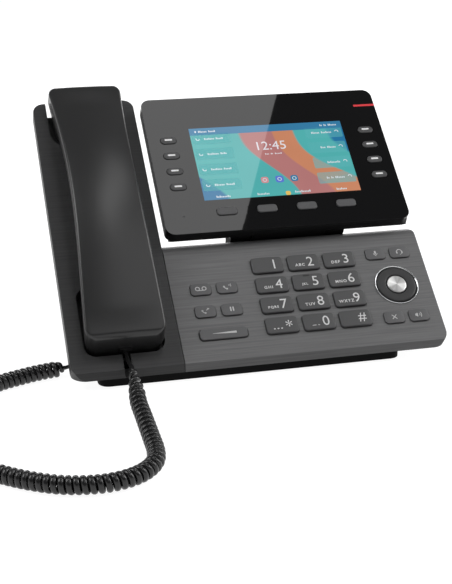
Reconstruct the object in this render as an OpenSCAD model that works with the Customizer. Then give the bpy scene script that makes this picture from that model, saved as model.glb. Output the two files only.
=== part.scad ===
// Desk IP phone: sloped keypad slab with a handset cradle, a tilting display and a curly cord.
// Units are millimetres. +Z is up, +X is to the user's right and the user sits on the -Y side.
// Most pieces are drawn in slope coordinates: x across, s up the slope from the front edge,
// w out of the keypad face. on_slope() turns them into the standing position.

/* [Body] */
// Width of the whole phone
body_w = 247.2; // [244:0.2:262]
// Angle of the keypad face above the desk, in degrees
incline = 37.5; // [36:0.5:39]
// Height of the keypad's front edge above the desk
front_h = 12.8; // [12.4:0.2:14]
// Thickness of the rubber feet
foot_h = 0.8; // [0.6:0.1:1.6]
// Thickness of the fascia's face
skin = 2; // [1.8:0.1:2.2]
// Wall of the black lower housing
wall = 2; // [1.6:0.1:2.6]
// Depth of the fascia's side skirts
skirt_h = 9; // [9:0.1:9.6]
// Height of the upright front lip
lip_h = 5.6; // [4.8:0.1:6]
// Depth of the lower housing under the keypad
tray_h = 26; // [25:0.5:29]
// Depth of the lower housing under the cradle
column_h = 24; // [23:0.5:27]

/* [Keypad plate] */
// Length of the keypad plate up the slope
plate_l = 92.3; // [91.5:0.1:92.6]
// Radius of the rolled rear edge
roll_r = 8; // [6.5:0.1:8.2]
// Radius of the front corners
front_corner_r = 10; // [6:0.5:12]
// Radius of the rear corners
rear_corner_r = 8.5; // [6:0.5:10]
// Distance between dial key columns
dial_pitch_x = 24.9; // [24.4:0.1:25.4]
// Distance between dial key rows
dial_pitch_s = 15.5; // [15:0.1:15.8]
// Width of a dial key
dial_key_w = 21.4; // [19:0.1:21.8]
// Height of a dial key
dial_key_l = 12; // [10:0.1:12.4]
// Rise of the dial keys above the plate
dial_rise = 1.9; // [1.2:0.1:2.4]
// Width of a function key
soft_key_w = 13.6; // [12:0.1:14.4]
// Height of a function key
soft_key_l = 8.8; // [8:0.1:9.6]
// Rise of the function keys above the plate
soft_rise = 1.2; // [0.8:0.1:1.6]
// Length of the volume bar
volume_w = 31.2; // [28:0.2:32]
// Travel of the keypad keys
key_travel = 1.2; // [0.8:0.1:1.3]
// Gap between a key and the edge of its window
key_gap = 0.3; // [0.25:0.05:0.4]

/* [Navigation pad] */
// Outer radius of the chrome trim
nav_r = 15; // [14.6:0.1:15.4]
// Width of the chrome trim
nav_trim_w = 1; // [0.8:0.1:1.1]
// Radius of the centre button
nav_ok_r = 6.6; // [6:0.1:6.7]

/* [Cradle] */
// Width of the cradle
cradle_w = 70.8; // [70:0.2:74]
// Length of the cradle up the slope
cradle_l = 217; // [215:0.5:221]
// Depth of the two handset wells
well_depth = 9.5; // [9.3:0.1:10.5]
// Width of the mouthpiece well
mouth_well_w = 51.4; // [51:0.1:53]
// Width of the earpiece well
ear_well_w = 52.4; // [52:0.1:54]
// Width of the cord notch in the front rim
notch_w = 5; // [4:0.1:6]

/* [Display] */
// Width of the display head
display_w = 170.1; // [166:0.1:171]
// Height of the display head
display_l = 116.2; // [114:0.1:120]
// Thickness of the display head
display_t = 9; // [9:0.1:9.6]
// Thickness of the front glass
glass_t = 1.8; // [1.6:0.1:2]
// Gap between the display head and the cradle's side
display_gap = 3; // [2:0.1:4]
// Radius of the display head's corners
display_r = 6.5; // [6:0.5:10]
// Width of the picture area
lcd_w = 110.7; // [108:0.1:112]
// Height of the picture area
lcd_l = 62.3; // [60:0.1:63]
// Radius of the hinge knuckles
knuckle_r = 4.5; // [4.2:0.1:4.6]
// Diameter of the hinge pin
pin_d = 4; // [3:0.1:4.4]
// Radial running clearance round the hinge pin
pin_play = 0.05; // [0.02:0.01:0.08]

/* [Handset] */
// Length of the handset
handset_l = 205.3; // [203:0.1:206]
// Width of the handset at its ends
handset_w = 51; // [49:0.1:51.4]
// How much narrower the grip is than the ends
waist = 7.8; // [4:0.1:10]
// Height of the handset's end edges above the cradle
end_rise = 15; // [13:0.5:17]
// How far the grip arches above the end edges
arch = 15; // [10:0.5:18]
// Finger gap between grip and cradle
grip_gap = 11; // [10:0.1:13]
// How deep the two cups reach into their wells
cup_depth = 8; // [7:0.1:8.6]

/* [Stand and cord] */
// Width of the rear stand
stand_w = 176; // [160:1:190]
// Distance from the phone's front edge to the back of the stand's foot
stand_reach = 152; // [140:1:160]
// Outer diameter of the curly cord
coil_d = 10.8; // [9.6:0.1:10.8]
// Diameter of the cord's straight wire
wire_d = 3; // [2.6:0.1:3.6]

/* [Hidden] */

$fn = 48;
far = 400;
eps = 0.01;
fit_gap = 0.2;

black = [0.05, 0.05, 0.055];
plate_grey = [0.30, 0.30, 0.31];
cradle_grey = [0.17, 0.17, 0.18];
key_grey = [0.16, 0.16, 0.17];
board_green = [0.05, 0.28, 0.16];
steel = [0.75, 0.76, 0.78];

// Overall placing: the origin is under the middle of the standing phone
column_in = 6;
column_l = cradle_l - column_in;
phone_depth = column_l * cos(incline) + column_h * sin(incline);
front_y = -phone_depth / 2;
body_x0 = -body_w / 2;
body_x1 = body_w / 2;
seam_x = body_x0 + cradle_w;
seam_gap = 0.2;
cradle_x = body_x0 + cradle_w / 2;

// Lower housing
tray_in_left = 17.4;
tray_in_right = 31.6;
tray_x0 = body_x0 + tray_in_left;
tray_x1 = body_x1 - tray_in_right;
tray_front_in = 3.5;
tray_corner_r = 7;
tray_rear = plate_l - 1.3;
flange_t = 2;
flange_in = 0.5;
floor_t = 1.5;

// Front lip: upright face, then a level underside back to the skirt's lower edge
lip_run = (skirt_h - lip_h * cos(incline)) / sin(incline);
lip_low_s = -lip_h * sin(incline);
lip_foot_s = lip_low_s + lip_run * cos(incline);
lip_inner_s = 3.2;

// Electronics under the plate
board_top = -skin - 5;
board_t = 1.6;
dome_h = 0.7;
flange_drop = 0.3;
key_flange_t = 1;
key_foot = board_top + dome_h + key_travel + 0.2;

// Key groups: function keys, dial block and navigation pad share out the plate's free room
soft_col = 17.5;
soft_right_half = 8.6;
volume_l = 7.8;
group_w = [volume_w, 2 * dial_pitch_x + dial_key_w, 2 * soft_right_half + soft_key_w];
gap_parts = [12.8, 12.6, 9, 8.8];
gap_unit = (body_x1 - seam_x - group_w[0] - group_w[1] - group_w[2])
    / (gap_parts[0] + gap_parts[1] + gap_parts[2] + gap_parts[3]);
soft_left_x = seam_x + gap_unit * gap_parts[0] + group_w[0] / 2;
dial_x0 = soft_left_x + group_w[0] / 2 + gap_unit * gap_parts[1] + dial_key_w / 2;
nav_x = body_x1 - gap_unit * gap_parts[3] - group_w[2] / 2;
// Rows count up from the front edge of the dial block
front_parts = [14.9, 18.9];
keys_s0 = (plate_l - 3 * dial_pitch_s - dial_key_l) * front_parts[0]
    / (front_parts[0] + front_parts[1]);
dial_s0 = keys_s0 + dial_key_l / 2 + 3 * dial_pitch_s;
soft_s = [keys_s0 + 38.2, keys_s0 + 21.3, keys_s0 + 4];
soft_right_s = [keys_s0 + 54.8, keys_s0 + 4.3];
nav_s = keys_s0 + 29.4;
nav_tilt_room = 0.6;

// Display head
display_x0 = seam_x + display_gap;
display_x1 = display_x0 + display_w;
display_s0 = plate_l - 1.3;
display_s1 = display_s0 + display_l;
display_w0 = 1;
display_w1 = display_w0 + display_t;
glass_w0 = display_w1 - glass_t;
back_chamfer = 3;
hinge_s = display_s0 + 6.5;
hinge_w = display_w0 - 1 - knuckle_r;
bracket_w = 80;
bracket_x = display_x0 + display_w / 2 + 0.2;
knuckle_l = 14;
lcd_x = display_x0 + display_w / 2 + 0.2;
lcd_s = display_s0 + 57.1;
line_key = [11, 5.6];
line_pitch = 13.4;
line_s0 = display_s0 + 78.6;
line_x = [display_x0 + 14.1, display_x1 - 12.8];
menu_key = [13.8, 6];
menu_pitch = 27.9;
menu_s = display_s0 + 15.8;
light_bar_l = 15.8;
light_bar_h = 1.8;
light_bar_s = display_s0 + 101.6;
lcd_frame = 2.5;
display_board_in = 5;
line_rise = 0.7;
menu_rise = 0.9;
mic_r = 0.7;
mic_x = display_x0 + 13.6;
mic_s = menu_s - 2;
display_travel = 0.7;
display_slack = 0.2;
display_board_t = 1.1;
display_dome_h = 0.5;
board2_w = glass_w0 - flange_drop - key_flange_t - display_travel - display_slack
    - display_dome_h - display_board_t;

// Cradle wells
mouth_s0 = 11;
mouth_s1 = 62;
mouth_r = 8;
ear_s0 = cradle_l - 40;
ear_floor_end = cradle_l - 4.5;
ear_r = 14;
well_wall = 2;
speaker_s = 118;
speaker_r = 22;
speaker_rim = 1.6;
speaker_h = 13;
cone_h = 7;
magnet_r = 12;
slot_w = 1.6;
slot_pitch = 4;
slot_l = 34;
slot_step = 1.2;
hook_s = cradle_l - 20;
hook_size = [8, 12];
hook_lift = 3.5;

// Handset: everything along its length goes with the station u from 0 at the mouth end to 1
handset_overhang = 2;
handset_s0 = cradle_l + handset_overhang - handset_l;
end_lean = 1.6;
end_round = [6, 4];
edge_round = 2.2;
draft = 2.2;
crown = 2.4;
split_end = 3;
split_arch = 17;
cup_mouth = [36, 50];
cup_ear = [160, 177];
handset_stations = concat([0, 0.7, 2, 4, 6], [for (d = [12 : 6 : handset_l - 12]) d],
    [handset_l - 6, handset_l - 4, handset_l - 2, handset_l - 0.7, handset_l]);
jack_w = -0.4;
plug_size = [7.6, 13, 6];
plug_out = 1.2;

// Stand
stand_x = (tray_x0 + tray_x1) / 2;
stand_t = 3;
stand_top = [54, 89];
stand_rib = 2.6;
stand_bay = 26;
stand_leg_t = 11;
window_in = 32;
window_z = [9, 30];
front_foot = [26, 11];
rear_foot = [26, 9];
front_foot_in = [18, 14];
rear_foot_in = [14, 6];

// Cord route, in the standing position
handset_lead_points = [[-88.2, -81, 20], [-88, -85.5, 17.4], [-87.5, -90, 16], [-87, -94.2, 15.8]];
coil_points = [[-86.8, -97.2, 15], [-86.8, -100.5, 13.7], [-87, -105, 11.3], [-87.2, -111, 8.4],
    [-87.7, -118, 6.3], [-88.3, -126, 5.5], [-88.6, -142, 5.5], [-89, -158, 5.5],
    [-89.4, -174, 5.5], [-89.9, -187, 5.5], [-92.5, -199, 5.5], [-99.5, -208.5, 5.5],
    [-109.5, -214.5, 5.5], [-121.5, -217, 5.5], [-134.5, -216, 5.5], [-147.5, -212, 5.5],
    [-161.5, -204, 5.5], [-175.5, -193, 5.5], [-189.5, -179, 5.5], [-199.5, -161, 5.5],
    [-204, -141, 5.5], [-203, -121, 5.5], [-196, -103, 5.5], [-184, -89, 5.5],
    [-168, -77, 5.5], [-154, -70.5, 5.5], [-140, -65.5, 5.5], [-124, -62, 5.5]];
base_lead_points = [[-124, -62, 5.5], [-118, -61.6, 7], [-112.5, -62, 10.5], [-107.7, -62.6, 11.9]];
coil_opens_over = 3;
coil_start_d = 5.4;
base_jack_s = 22;
base_jack_w = -18;

// ---- Placing and plan helpers ----

module on_slope() {
    translate([0, front_y, front_h]) rotate([incline, 0, 0]) children();
}

function slope_point(s, w) =
    [front_y + s * cos(incline) - w * sin(incline), front_h + s * sin(incline) + w * cos(incline)];

// Rectangle from (x0, y0) to (x1, y1) with round corners, radii in the order
// front left, front right, rear right, rear left
module plan(x0, x1, y0, y1, r) {
    corners = [[x0, y0, 1, 1], [x1, y0, -1, 1], [x1, y1, -1, -1], [x0, y1, 1, -1]];
    difference() {
        translate([x0, y0]) square([x1 - x0, y1 - y0]);
        for (i = [0 : 3]) if (r[i] > 0)
            translate([corners[i][0] - eps * corners[i][2], corners[i][1] - eps * corners[i][3]])
                scale([corners[i][2], corners[i][3]]) square(r[i] + eps);
    }
    for (i = [0 : 3]) if (r[i] > 0)
        translate([corners[i][0] + corners[i][2] * r[i], corners[i][1] + corners[i][3] * r[i]])
            circle(r[i]);
}

module slab(x0, x1, y0, y1, w0, w1, r) {
    translate([0, 0, w0]) linear_extrude(height = w1 - w0) plan(x0, x1, y0, y1, r);
}

module pad(x, s, size, w0, w1, r) {
    slab(x - size[0] / 2, x + size[0] / 2, s - size[1] / 2, s + size[1] / 2, w0, w1,
        [r, r, r, r]);
}

// Extrudes a profile drawn in (s, w) along x
module along_x(x0, x1) {
    translate([x0, 0, 0]) rotate([90, 0, 90]) linear_extrude(height = x1 - x0) children();
}

module above_desk(z, y) {
    intersection() {
        children();
        translate([-far / 2, y, z]) cube(far);
    }
}

// ---- Fascia ----

// Side view of the fascia: upright lip, flat face and, where roll is set, a rolled rear edge
module fascia_profile(length, roll) {
    difference() {
        polygon([[0, 0], [lip_low_s, -lip_h * cos(incline)], [lip_foot_s, -skirt_h],
            [length, -skirt_h], [length, 0]]);
        if (roll > 0) translate([length - roll, -roll]) square(roll + eps);
    }
    if (roll > 0) translate([length - roll, -roll]) circle(roll, $fn = 64);
}

// Hollow under the face, open at the bottom
module fascia_hollow(x0, x1, length, roll) {
    intersection() {
        slab(x0, x1, lip_inner_s, length - skin, -skirt_h - 1, -skin, [1, 1, 1, 1]);
        along_x(x0 - 1, x1 + 1) {
            translate([0, -skirt_h - 1]) square([length - roll, skirt_h + 1]);
            if (roll > 0) {
                translate([0, -skirt_h - 1]) square([length - skin, skirt_h + 1 - roll]);
                translate([length - roll, -roll]) circle(roll - skin, $fn = 64);
            }
        }
    }
}

module fascia_body(x0, x1, length, roll, r) {
    intersection() {
        along_x(x0, x1) fascia_profile(length, roll);
        slab(x0, x1, lip_low_s, length, -skirt_h, eps, r);
    }
}

module key_window(x, s, size, r) {
    pad(x, s, [size[0] + 2 * key_gap, size[1] + 2 * key_gap], -skirt_h, 1, r + key_gap);
}

function dial_x(column) = dial_x0 + column * dial_pitch_x;
function dial_s(row) = dial_s0 - row * dial_pitch_s;
dial_r = 2.2;
soft_r = 2.4;
soft_size = [soft_key_w, soft_key_l];
dial_size = [dial_key_w, dial_key_l];
volume_gap = 0.5;

module faceplate() {
    color(plate_grey) on_slope() difference() {
        fascia_body(seam_x + seam_gap, body_x1, plate_l, roll_r,
            [0, front_corner_r, rear_corner_r, 0]);
        fascia_hollow(seam_x + seam_gap + skin, body_x1 - skin, plate_l, roll_r);
        for (column = [0 : 2], row = [0 : 3])
            key_window(dial_x(column), dial_s(row), dial_size, dial_r);
        for (column = [0, 1], row = [0, 1])
            key_window(soft_left_x - soft_col * (0.5 - column), soft_s[row], soft_size, soft_r);
        for (side = [-1, 1], row = [0, 1])
            key_window(nav_x + side * soft_right_half, soft_right_s[row], soft_size, soft_r);
        pad(soft_left_x, soft_s[2], [volume_w + 2 * volume_gap, volume_l + 2 * volume_gap],
            -skirt_h, 1, soft_r + volume_gap);
        translate([nav_x, nav_s, -skirt_h]) cylinder(h = skirt_h + 1, r = nav_r + 0.05, $fn = 96);
    }
}

// ---- Cradle ----

module mouth_well(grow, w0) {
    slab(cradle_x - mouth_well_w / 2 - grow, cradle_x + mouth_well_w / 2 + grow,
        mouth_s0 - grow, mouth_s1 + grow, w0, 1, (mouth_r + grow) * [1, 1, 1, 1]);
}

module ear_well(grow, w0, s_end) {
    slab(cradle_x - ear_well_w / 2 - grow, cradle_x + ear_well_w / 2 + grow,
        ear_s0 - grow, s_end, w0, 1, [ear_r + grow, ear_r + grow, 0, 0]);
}

tub_w = -well_depth - floor_t;

module cradle_cover() {
    rear_r = rear_corner_r - 1;
    color(cradle_grey) on_slope() difference() {
        union() {
            difference() {
                fascia_body(body_x0, seam_x - seam_gap, cradle_l, 0,
                    [front_corner_r, 0, rear_r, rear_r]);
                fascia_hollow(body_x0 + skin, seam_x - seam_gap - skin, cradle_l, 0);
            }
            // Tubs of the two wells
            intersection() {
                mouth_well(well_wall, tub_w);
                translate([-far / 2, 0, -far]) cube([far, far, far - skin / 2]);
            }
            intersection() {
                ear_well(well_wall, tub_w, ear_floor_end);
                translate([-far / 2, 0, -far]) cube([far, far, far - skin / 2]);
            }
        }
        mouth_well(0, -well_depth);
        ear_well(0, -well_depth, cradle_l + 1);
        // The rear rim is open behind the earpiece
        translate([cradle_x - ear_well_w / 2, ear_floor_end, -far / 2])
            cube([ear_well_w, cradle_l, far]);
        // Notch that lets the cord out through the front rim
        translate([cradle_x, -lip_h, -notch_w / 2]) rotate([-90, 0, 0])
            cylinder(h = mouth_s0 + lip_h + 1, d = notch_w);
        translate([cradle_x - notch_w / 2, -lip_h, -notch_w / 2])
            cube([notch_w, mouth_s0 + lip_h + 1, notch_w]);
        // Loudspeaker slots, under the grip
        for (i = [-4 : 4])
            pad(cradle_x + i * slot_pitch, speaker_s,
                [slot_w, slot_l - 2 * slot_step * abs(i)], -skin - 1, 1, slot_w / 2);
        // Hole for the hook switch
        pad(cradle_x, hook_s, [hook_size[0] + 2 * key_gap, hook_size[1] + 2 * key_gap],
            tub_w - 1, 0, 1.3);
    }
}

module hook_switch() {
    top = -cup_depth - 0.35;
    flange_top = tub_w - 0.3 - hook_lift;
    color(black) on_slope() {
        pad(cradle_x, hook_s, hook_size, flange_top - 2, top, 1);
        pad(cradle_x, hook_s, hook_size + [4, 4], flange_top - 1.2, flange_top, 1);
    }
}

module loudspeaker() {
    color(black) on_slope() translate([cradle_x, speaker_s, -skin]) rotate_extrude($fn = 64)
        polygon([[0, 0], [speaker_r, 0], [speaker_r, -speaker_rim],
            [speaker_r - speaker_rim, -speaker_rim], [magnet_r, -cone_h], [magnet_r, -speaker_h],
            [0, -speaker_h]]);
}

// ---- Lower housing ----

module tray_envelope(inset, w_low, rear) {
    // Block under the keypad, with an upright front wall and a level bottom
    intersection() {
        union() {
            on_slope() translate([tray_x0 + inset, -far / 4, w_low])
                cube([tray_x1 - tray_x0 - 2 * inset, far / 4 + rear, -skirt_h - w_low]);
            translate([tray_x0 + inset, front_y, 0])
                cube([tray_x1 - tray_x0 - 2 * inset, 20, front_h - lip_h - inset]);
        }
        translate([0, 0, foot_h + inset]) linear_extrude(height = far)
            plan(tray_x0 + inset, tray_x1 - inset, front_y + tray_front_in + inset, far,
                (tray_corner_r - inset) * [1, 1, 0, 0]);
    }
}

column_x0 = body_x0 + column_in;
column_x1 = seam_x - column_in;
column_s0 = 30;
board_x0 = seam_x + 5;
board_x1 = body_x1 - 5;
board_s0 = 8;
board_s1 = plate_l - 9;
jacks_x0 = seam_x + 3.4;
jacks_l = 38;
jacks_d = 18;
post_in_x = [9, 12];
post_in_s = [10, 6];
post_x = [jacks_x0 + jacks_l + post_in_x[0], tray_x1 - post_in_x[1]];
post_s = [board_s0 + post_in_s[0], board_s1 - post_in_s[1]];
jacks_low = -tray_h + wall + 0.4;
rj = [11.7, 8, 12];
clip_in_s = [5, 6];
clip_in_x = 14;
clip_s = [stand_top[0] + clip_in_s[0], stand_top[1] - clip_in_s[1]];
clip_size = [12, 3];
clip_x = [stand_x - stand_w / 2 + clip_in_x, stand_x, stand_x + stand_w / 2 - clip_in_x];

module base_shell() {
    color(black) difference() {
        union() {
            difference() {
                union() {
                    tray_envelope(0, -tray_h, tray_rear);
                    on_slope() {
                        // Closing plates under both fascias
                        slab(seam_x, body_x1 - flange_in, lip_foot_s + flange_in, tray_rear,
                            -skirt_h - flange_t, -skirt_h,
                            [0, front_corner_r, rear_corner_r, 0]);
                        slab(body_x0 + flange_in, seam_x, lip_foot_s + flange_in,
                            cradle_l - flange_in, -skirt_h - flange_t, -skirt_h,
                            [front_corner_r, 0, rear_corner_r, rear_corner_r]);
                        slab(column_x0, column_x1, column_s0, column_l, -column_h, -skirt_h,
                            [3, 3, 6, 6]);
                    }
                }
                tray_envelope(wall, -tray_h + wall, tray_rear - wall);
                on_slope() {
                    slab(column_x0 + wall, column_x1 - wall, column_s0 + wall,
                        column_l - wall, -column_h + wall, 1, [2, 2, 4, 4]);
                    // Open top of the tray
                    slab(tray_x0 + wall, tray_x1 - wall, lip_foot_s - fit_gap,
                        tray_rear - wall, -skirt_h - flange_t - 1, 1, [0, 0, 0, 0]);
                }
            }
            // Posts that carry the circuit board
            above_desk(foot_h, -far / 2) on_slope()
                for (x = post_x, s = post_s)
                    translate([x, s, -tray_h + wall / 2])
                        cylinder(h = board_top - board_t + tray_h - wall / 2, r = 3);
            // Socket for the handset cord
            on_slope() translate([tray_x0 + wall / 2, base_jack_s - 6, base_jack_w - 5])
                cube([plug_size[1] + 3, 12, 10]);
        }
        on_slope() {
            // Room for the tubs of the wells
            mouth_well(well_wall + fit_gap, tub_w - fit_gap);
            ear_well(well_wall + fit_gap, tub_w - fit_gap, cradle_l + 1);
            // Pilot holes in the posts
            for (x = post_x, s = post_s)
                translate([x, s, board_top - board_t - 6]) cylinder(h = 7, r = 1.1);
            // Mouth of the handset cord socket
            translate([tray_x0 - 1, base_jack_s - plug_size[0] / 2 - fit_gap,
                base_jack_w - plug_size[2] / 2 - fit_gap])
                cube([plug_size[1] + 1 - plug_out, plug_size[0] + 2 * fit_gap,
                    plug_size[2] + 2 * fit_gap]);
            // Window for the rear jacks
            translate([jacks_x0 - fit_gap, tray_rear - 2 * wall, jacks_low - fit_gap])
                cube([jacks_l + 2 * fit_gap, 3 * wall,
                    -skirt_h - flange_t - jacks_low + fit_gap]);
            // Slots for the stand's clips
            for (x = clip_x, s = clip_s)
                translate([x - clip_size[0] / 2 - fit_gap, s - clip_size[1] / 2 - fit_gap,
                    -tray_h - 1])
                    cube([clip_size[0] + 2 * fit_gap, clip_size[1] + 2 * fit_gap, wall + 2]);
            // Cooling slots in the floor
            for (i = [0 : 9])
                translate([stand_x + 14 + i * 5, 30, -tray_h - 1]) cube([2, 16, wall + 2]);
        }
    }
}

module main_board() {
    color(board_green) on_slope() {
        difference() {
            slab(board_x0, board_x1, board_s0, board_s1, board_top - board_t, board_top,
                [2, 2, 2, 2]);
            for (x = post_x, s = post_s)
                translate([x, s, board_top - board_t - 1]) cylinder(h = board_t + 2, r = 1.3);
        }
        // Metal domes of the key switches
        for (column = [0 : 2], row = [0 : 3]) dome(dial_x(column), dial_s(row));
        for (column = [0, 1], row = [0, 1])
            dome(soft_left_x - soft_col * (0.5 - column), soft_s[row]);
        for (side = [-1, 1], row = [0, 1])
            dome(nav_x + side * soft_right_half, soft_right_s[row]);
        dome(nav_x, nav_s);
    }
}

module dome(x, s) {
    translate([x, s, board_top]) cylinder(h = dome_h, r = 2.4, $fn = 24);
}

module rear_jacks() {
    top = board_top - board_t;
    color(black) on_slope() difference() {
        union() {
            translate([jacks_x0, tray_rear - jacks_d, jacks_low])
                cube([jacks_l, jacks_d - wall - fit_gap, top - jacks_low]);
            translate([jacks_x0, tray_rear - 2 * wall, jacks_low])
                cube([jacks_l, 2 * wall, -skirt_h - flange_t - fit_gap - jacks_low]);
        }
        for (i = [0, 1])
            translate([jacks_x0 + jacks_l * (0.25 + 0.5 * i) - rj[0] / 2, tray_rear - rj[2],
                jacks_low + 2])
                cube([rj[0], rj[2] + 1, rj[1]]);
    }
}

// ---- Display ----

module display_bracket() {
    x0 = bracket_x - bracket_w / 2;
    web_top = hinge_w - knuckle_r - 0.6;
    seat = -skirt_h - flange_t - 0.3;
    clear_s = plate_l + 0.3;
    color(black) on_slope() difference() {
        union() {
            along_x(x0, x0 + bracket_w)
                polygon([[tray_rear, -tray_h + 1], [tray_rear, seat], [clear_s, seat],
                    [clear_s, web_top], [hinge_s + 6, web_top], [hinge_s + 6, web_top - 4],
                    [hinge_s - 1, -tray_h + 1]]);
            for (x = [x0, x0 + bracket_w - knuckle_l]) along_x(x, x + knuckle_l) {
                translate([hinge_s, hinge_w]) circle(knuckle_r);
                translate([hinge_s - knuckle_r, web_top - 1])
                    square([2 * knuckle_r, hinge_w - web_top + 1]);
            }
        }
        translate([x0 - 1, hinge_s, hinge_w]) rotate([0, 90, 0])
            cylinder(h = bracket_w + 2, d = pin_d);
    }
}

module hinge_pin() {
    color(steel) on_slope() translate([bracket_x - bracket_w / 2, hinge_s, hinge_w])
        rotate([0, 90, 0]) cylinder(h = bracket_w, d = pin_d);
}

module display_back_profile() {
    polygon([[display_s0, glass_w0], [display_s0, display_w0 + back_chamfer],
        [display_s0 + back_chamfer, display_w0], [display_s1 - back_chamfer, display_w0],
        [display_s1, display_w0 + back_chamfer], [display_s1, glass_w0]]);
}

module display_housing() {
    knuckle_x0 = bracket_x - bracket_w / 2 + knuckle_l + 0.3;
    knuckle_x1 = bracket_x + bracket_w / 2 - knuckle_l - 0.3;
    round_corners = display_r * [1, 1, 1, 1];
    color(black) on_slope() difference() {
        union() {
            difference() {
                intersection() {
                    along_x(display_x0, display_x1) display_back_profile();
                    slab(display_x0, display_x1, display_s0, display_s1, display_w0, glass_w0,
                        round_corners);
                }
                slab(display_x0 + wall, display_x1 - wall, display_s0 + wall + 1,
                    display_s1 - wall - 1, display_w0 + wall, glass_w0 + 1,
                    (display_r - wall) * [1, 1, 1, 1]);
            }
            for (x = [display_x0 + 12, display_x1 - 12], s = [display_s0 + 9, display_s1 - 9])
                translate([x, s, display_w0 + wall / 2])
                    cylinder(h = board2_w - display_w0 - wall / 2, r = 3);
            along_x(knuckle_x0, knuckle_x1) {
                translate([hinge_s, hinge_w]) circle(knuckle_r);
                translate([hinge_s - knuckle_r + 0.5, hinge_w])
                    square([2 * knuckle_r - 1, display_w0 - hinge_w + wall / 2]);
            }
        }
        translate([knuckle_x0 - 1, hinge_s, hinge_w]) rotate([0, 90, 0])
            cylinder(h = knuckle_x1 - knuckle_x0 + 2, d = pin_d + 2 * pin_play);
    }
}

function line_key_x(i) = line_x[i < 4 ? 0 : 1];
function line_key_s(i) = line_s0 - (i % 4) * line_pitch;
function menu_key_x(i) = lcd_x + (i - 1.5) * menu_pitch;
line_r = line_key[1] / 2 - 0.1;
menu_r = 2.2;

module display_window(x, s, size, r) {
    pad(x, s, [size[0] + 2 * key_gap, size[1] + 2 * key_gap], glass_w0 - 1, display_w1 + 1,
        r + key_gap);
}

module display_glass() {
    color(black) on_slope() difference() {
        slab(display_x0, display_x1, display_s0, display_s1, glass_w0, display_w1,
            display_r * [1, 1, 1, 1]);
        for (i = [0 : 7]) display_window(line_key_x(i), line_key_s(i), line_key, line_r);
        for (i = [0 : 3]) display_window(menu_key_x(i), menu_s, menu_key, menu_r);
        translate([display_x1 - light_bar_l, light_bar_s - light_bar_h / 2, glass_w0 - 1])
            cube([light_bar_l + 1, light_bar_h, glass_t + 2]);
        translate([mic_x, mic_s, glass_w0 - 1]) cylinder(h = glass_t + 2, r = mic_r, $fn = 16);
    }
}

module light_bar() {
    color("red") on_slope()
        translate([display_x1 - light_bar_l + 0.05, light_bar_s - light_bar_h / 2 + 0.05, glass_w0])
            cube([light_bar_l - 0.05, light_bar_h - 0.1, glass_t]);
}

module lcd_module() {
    top = board2_w + display_board_t;
    rim = display_board_in;
    color([0.10, 0.45, 0.55]) on_slope() {
        slab(display_x0 + rim, display_x1 - rim, display_s0 + rim, display_s1 - rim, board2_w,
            top, [4, 4, 4, 4]);
        pad(lcd_x, lcd_s, [lcd_w + 2 * lcd_frame, lcd_l + 2 * lcd_frame], top, glass_w0, 1);
        for (i = [0 : 7]) translate([line_key_x(i), line_key_s(i), top])
            cylinder(h = display_dome_h, r = 2, $fn = 24);
        for (i = [0 : 3]) translate([menu_key_x(i), menu_s, top])
            cylinder(h = display_dome_h, r = 2, $fn = 24);
    }
}

module display_key(x, s, size, r, rise) {
    foot = glass_w0 - flange_drop - key_flange_t;
    color(key_grey) on_slope() {
        pad(x, s, size, foot + key_flange_t / 2, display_w1 + rise, r);
        pad(x, s, size + [1.6, 1.6], foot, foot + key_flange_t, r + 0.8);
    }
}

module line_key_node(i) {
    display_key(line_key_x(i), line_key_s(i), line_key, line_r, line_rise);
}

module menu_key_node(i) {
    display_key(menu_key_x(i), menu_s, menu_key, menu_r, menu_rise);
}

// ---- Keypad keys ----

// A key has a crowned cap, a flange that stays under the plate and a foot over its switch
module pad_key(x, s, size, r, rise) {
    crown_r = size[0] * size[0] / 3.2;
    flange = [size[0] + 1.6, size[1] + 1.6];
    flange_top = -skin - flange_drop;
    intersection() {
        pad(x, s, size, flange_top - 0.5, rise, r);
        translate([x, s - size[1], rise - crown_r]) rotate([-90, 0, 0])
            cylinder(h = 2 * size[1], r = crown_r, $fn = 128);
    }
    pad(x, s, flange, flange_top - key_flange_t, flange_top, r);
    translate([x, s, key_foot]) cylinder(h = flange_top - 0.5 - key_foot, r = 2, $fn = 24);
}

module dial_key_node(column, row) {
    color(key_grey) on_slope() pad_key(dial_x(column), dial_s(row), dial_size, dial_r, dial_rise);
}

module soft_key_node(x, s) {
    color(plate_grey) on_slope() pad_key(x, s, soft_size, soft_r, soft_rise);
}

rock_foot = board_top + 0.05;

module volume_rocker() {
    flange_top = -skin - 0.9;
    color(plate_grey) on_slope() {
        pad(soft_left_x, soft_s[2], [volume_w, volume_l], flange_top - 0.5, soft_rise, soft_r);
        pad(soft_left_x, soft_s[2], [volume_w + 2.4, volume_l + 2.4], flange_top - 1, flange_top,
            soft_r);
        // Rounded ridge it rocks on
        translate([soft_left_x, soft_s[2] - 3, rock_foot + 1.2]) rotate([-90, 0, 0])
            cylinder(h = 6, r = 1.2);
        translate([soft_left_x - 1.2, soft_s[2] - 3, rock_foot + 1.2])
            cube([2.4, 6, flange_top - 0.5 - rock_foot - 1.2]);
    }
}

module nav_trim() {
    color(steel) on_slope() translate([nav_x, nav_s, 0]) rotate_extrude($fn = 96)
        polygon([[nav_r - nav_trim_w, -skin], [nav_r, -skin], [nav_r, 0.5],
            [nav_r - nav_trim_w / 3, 0.9], [nav_r - nav_trim_w, 0.4]]);
}

fulcrum_w = rock_foot + 3;

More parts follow.
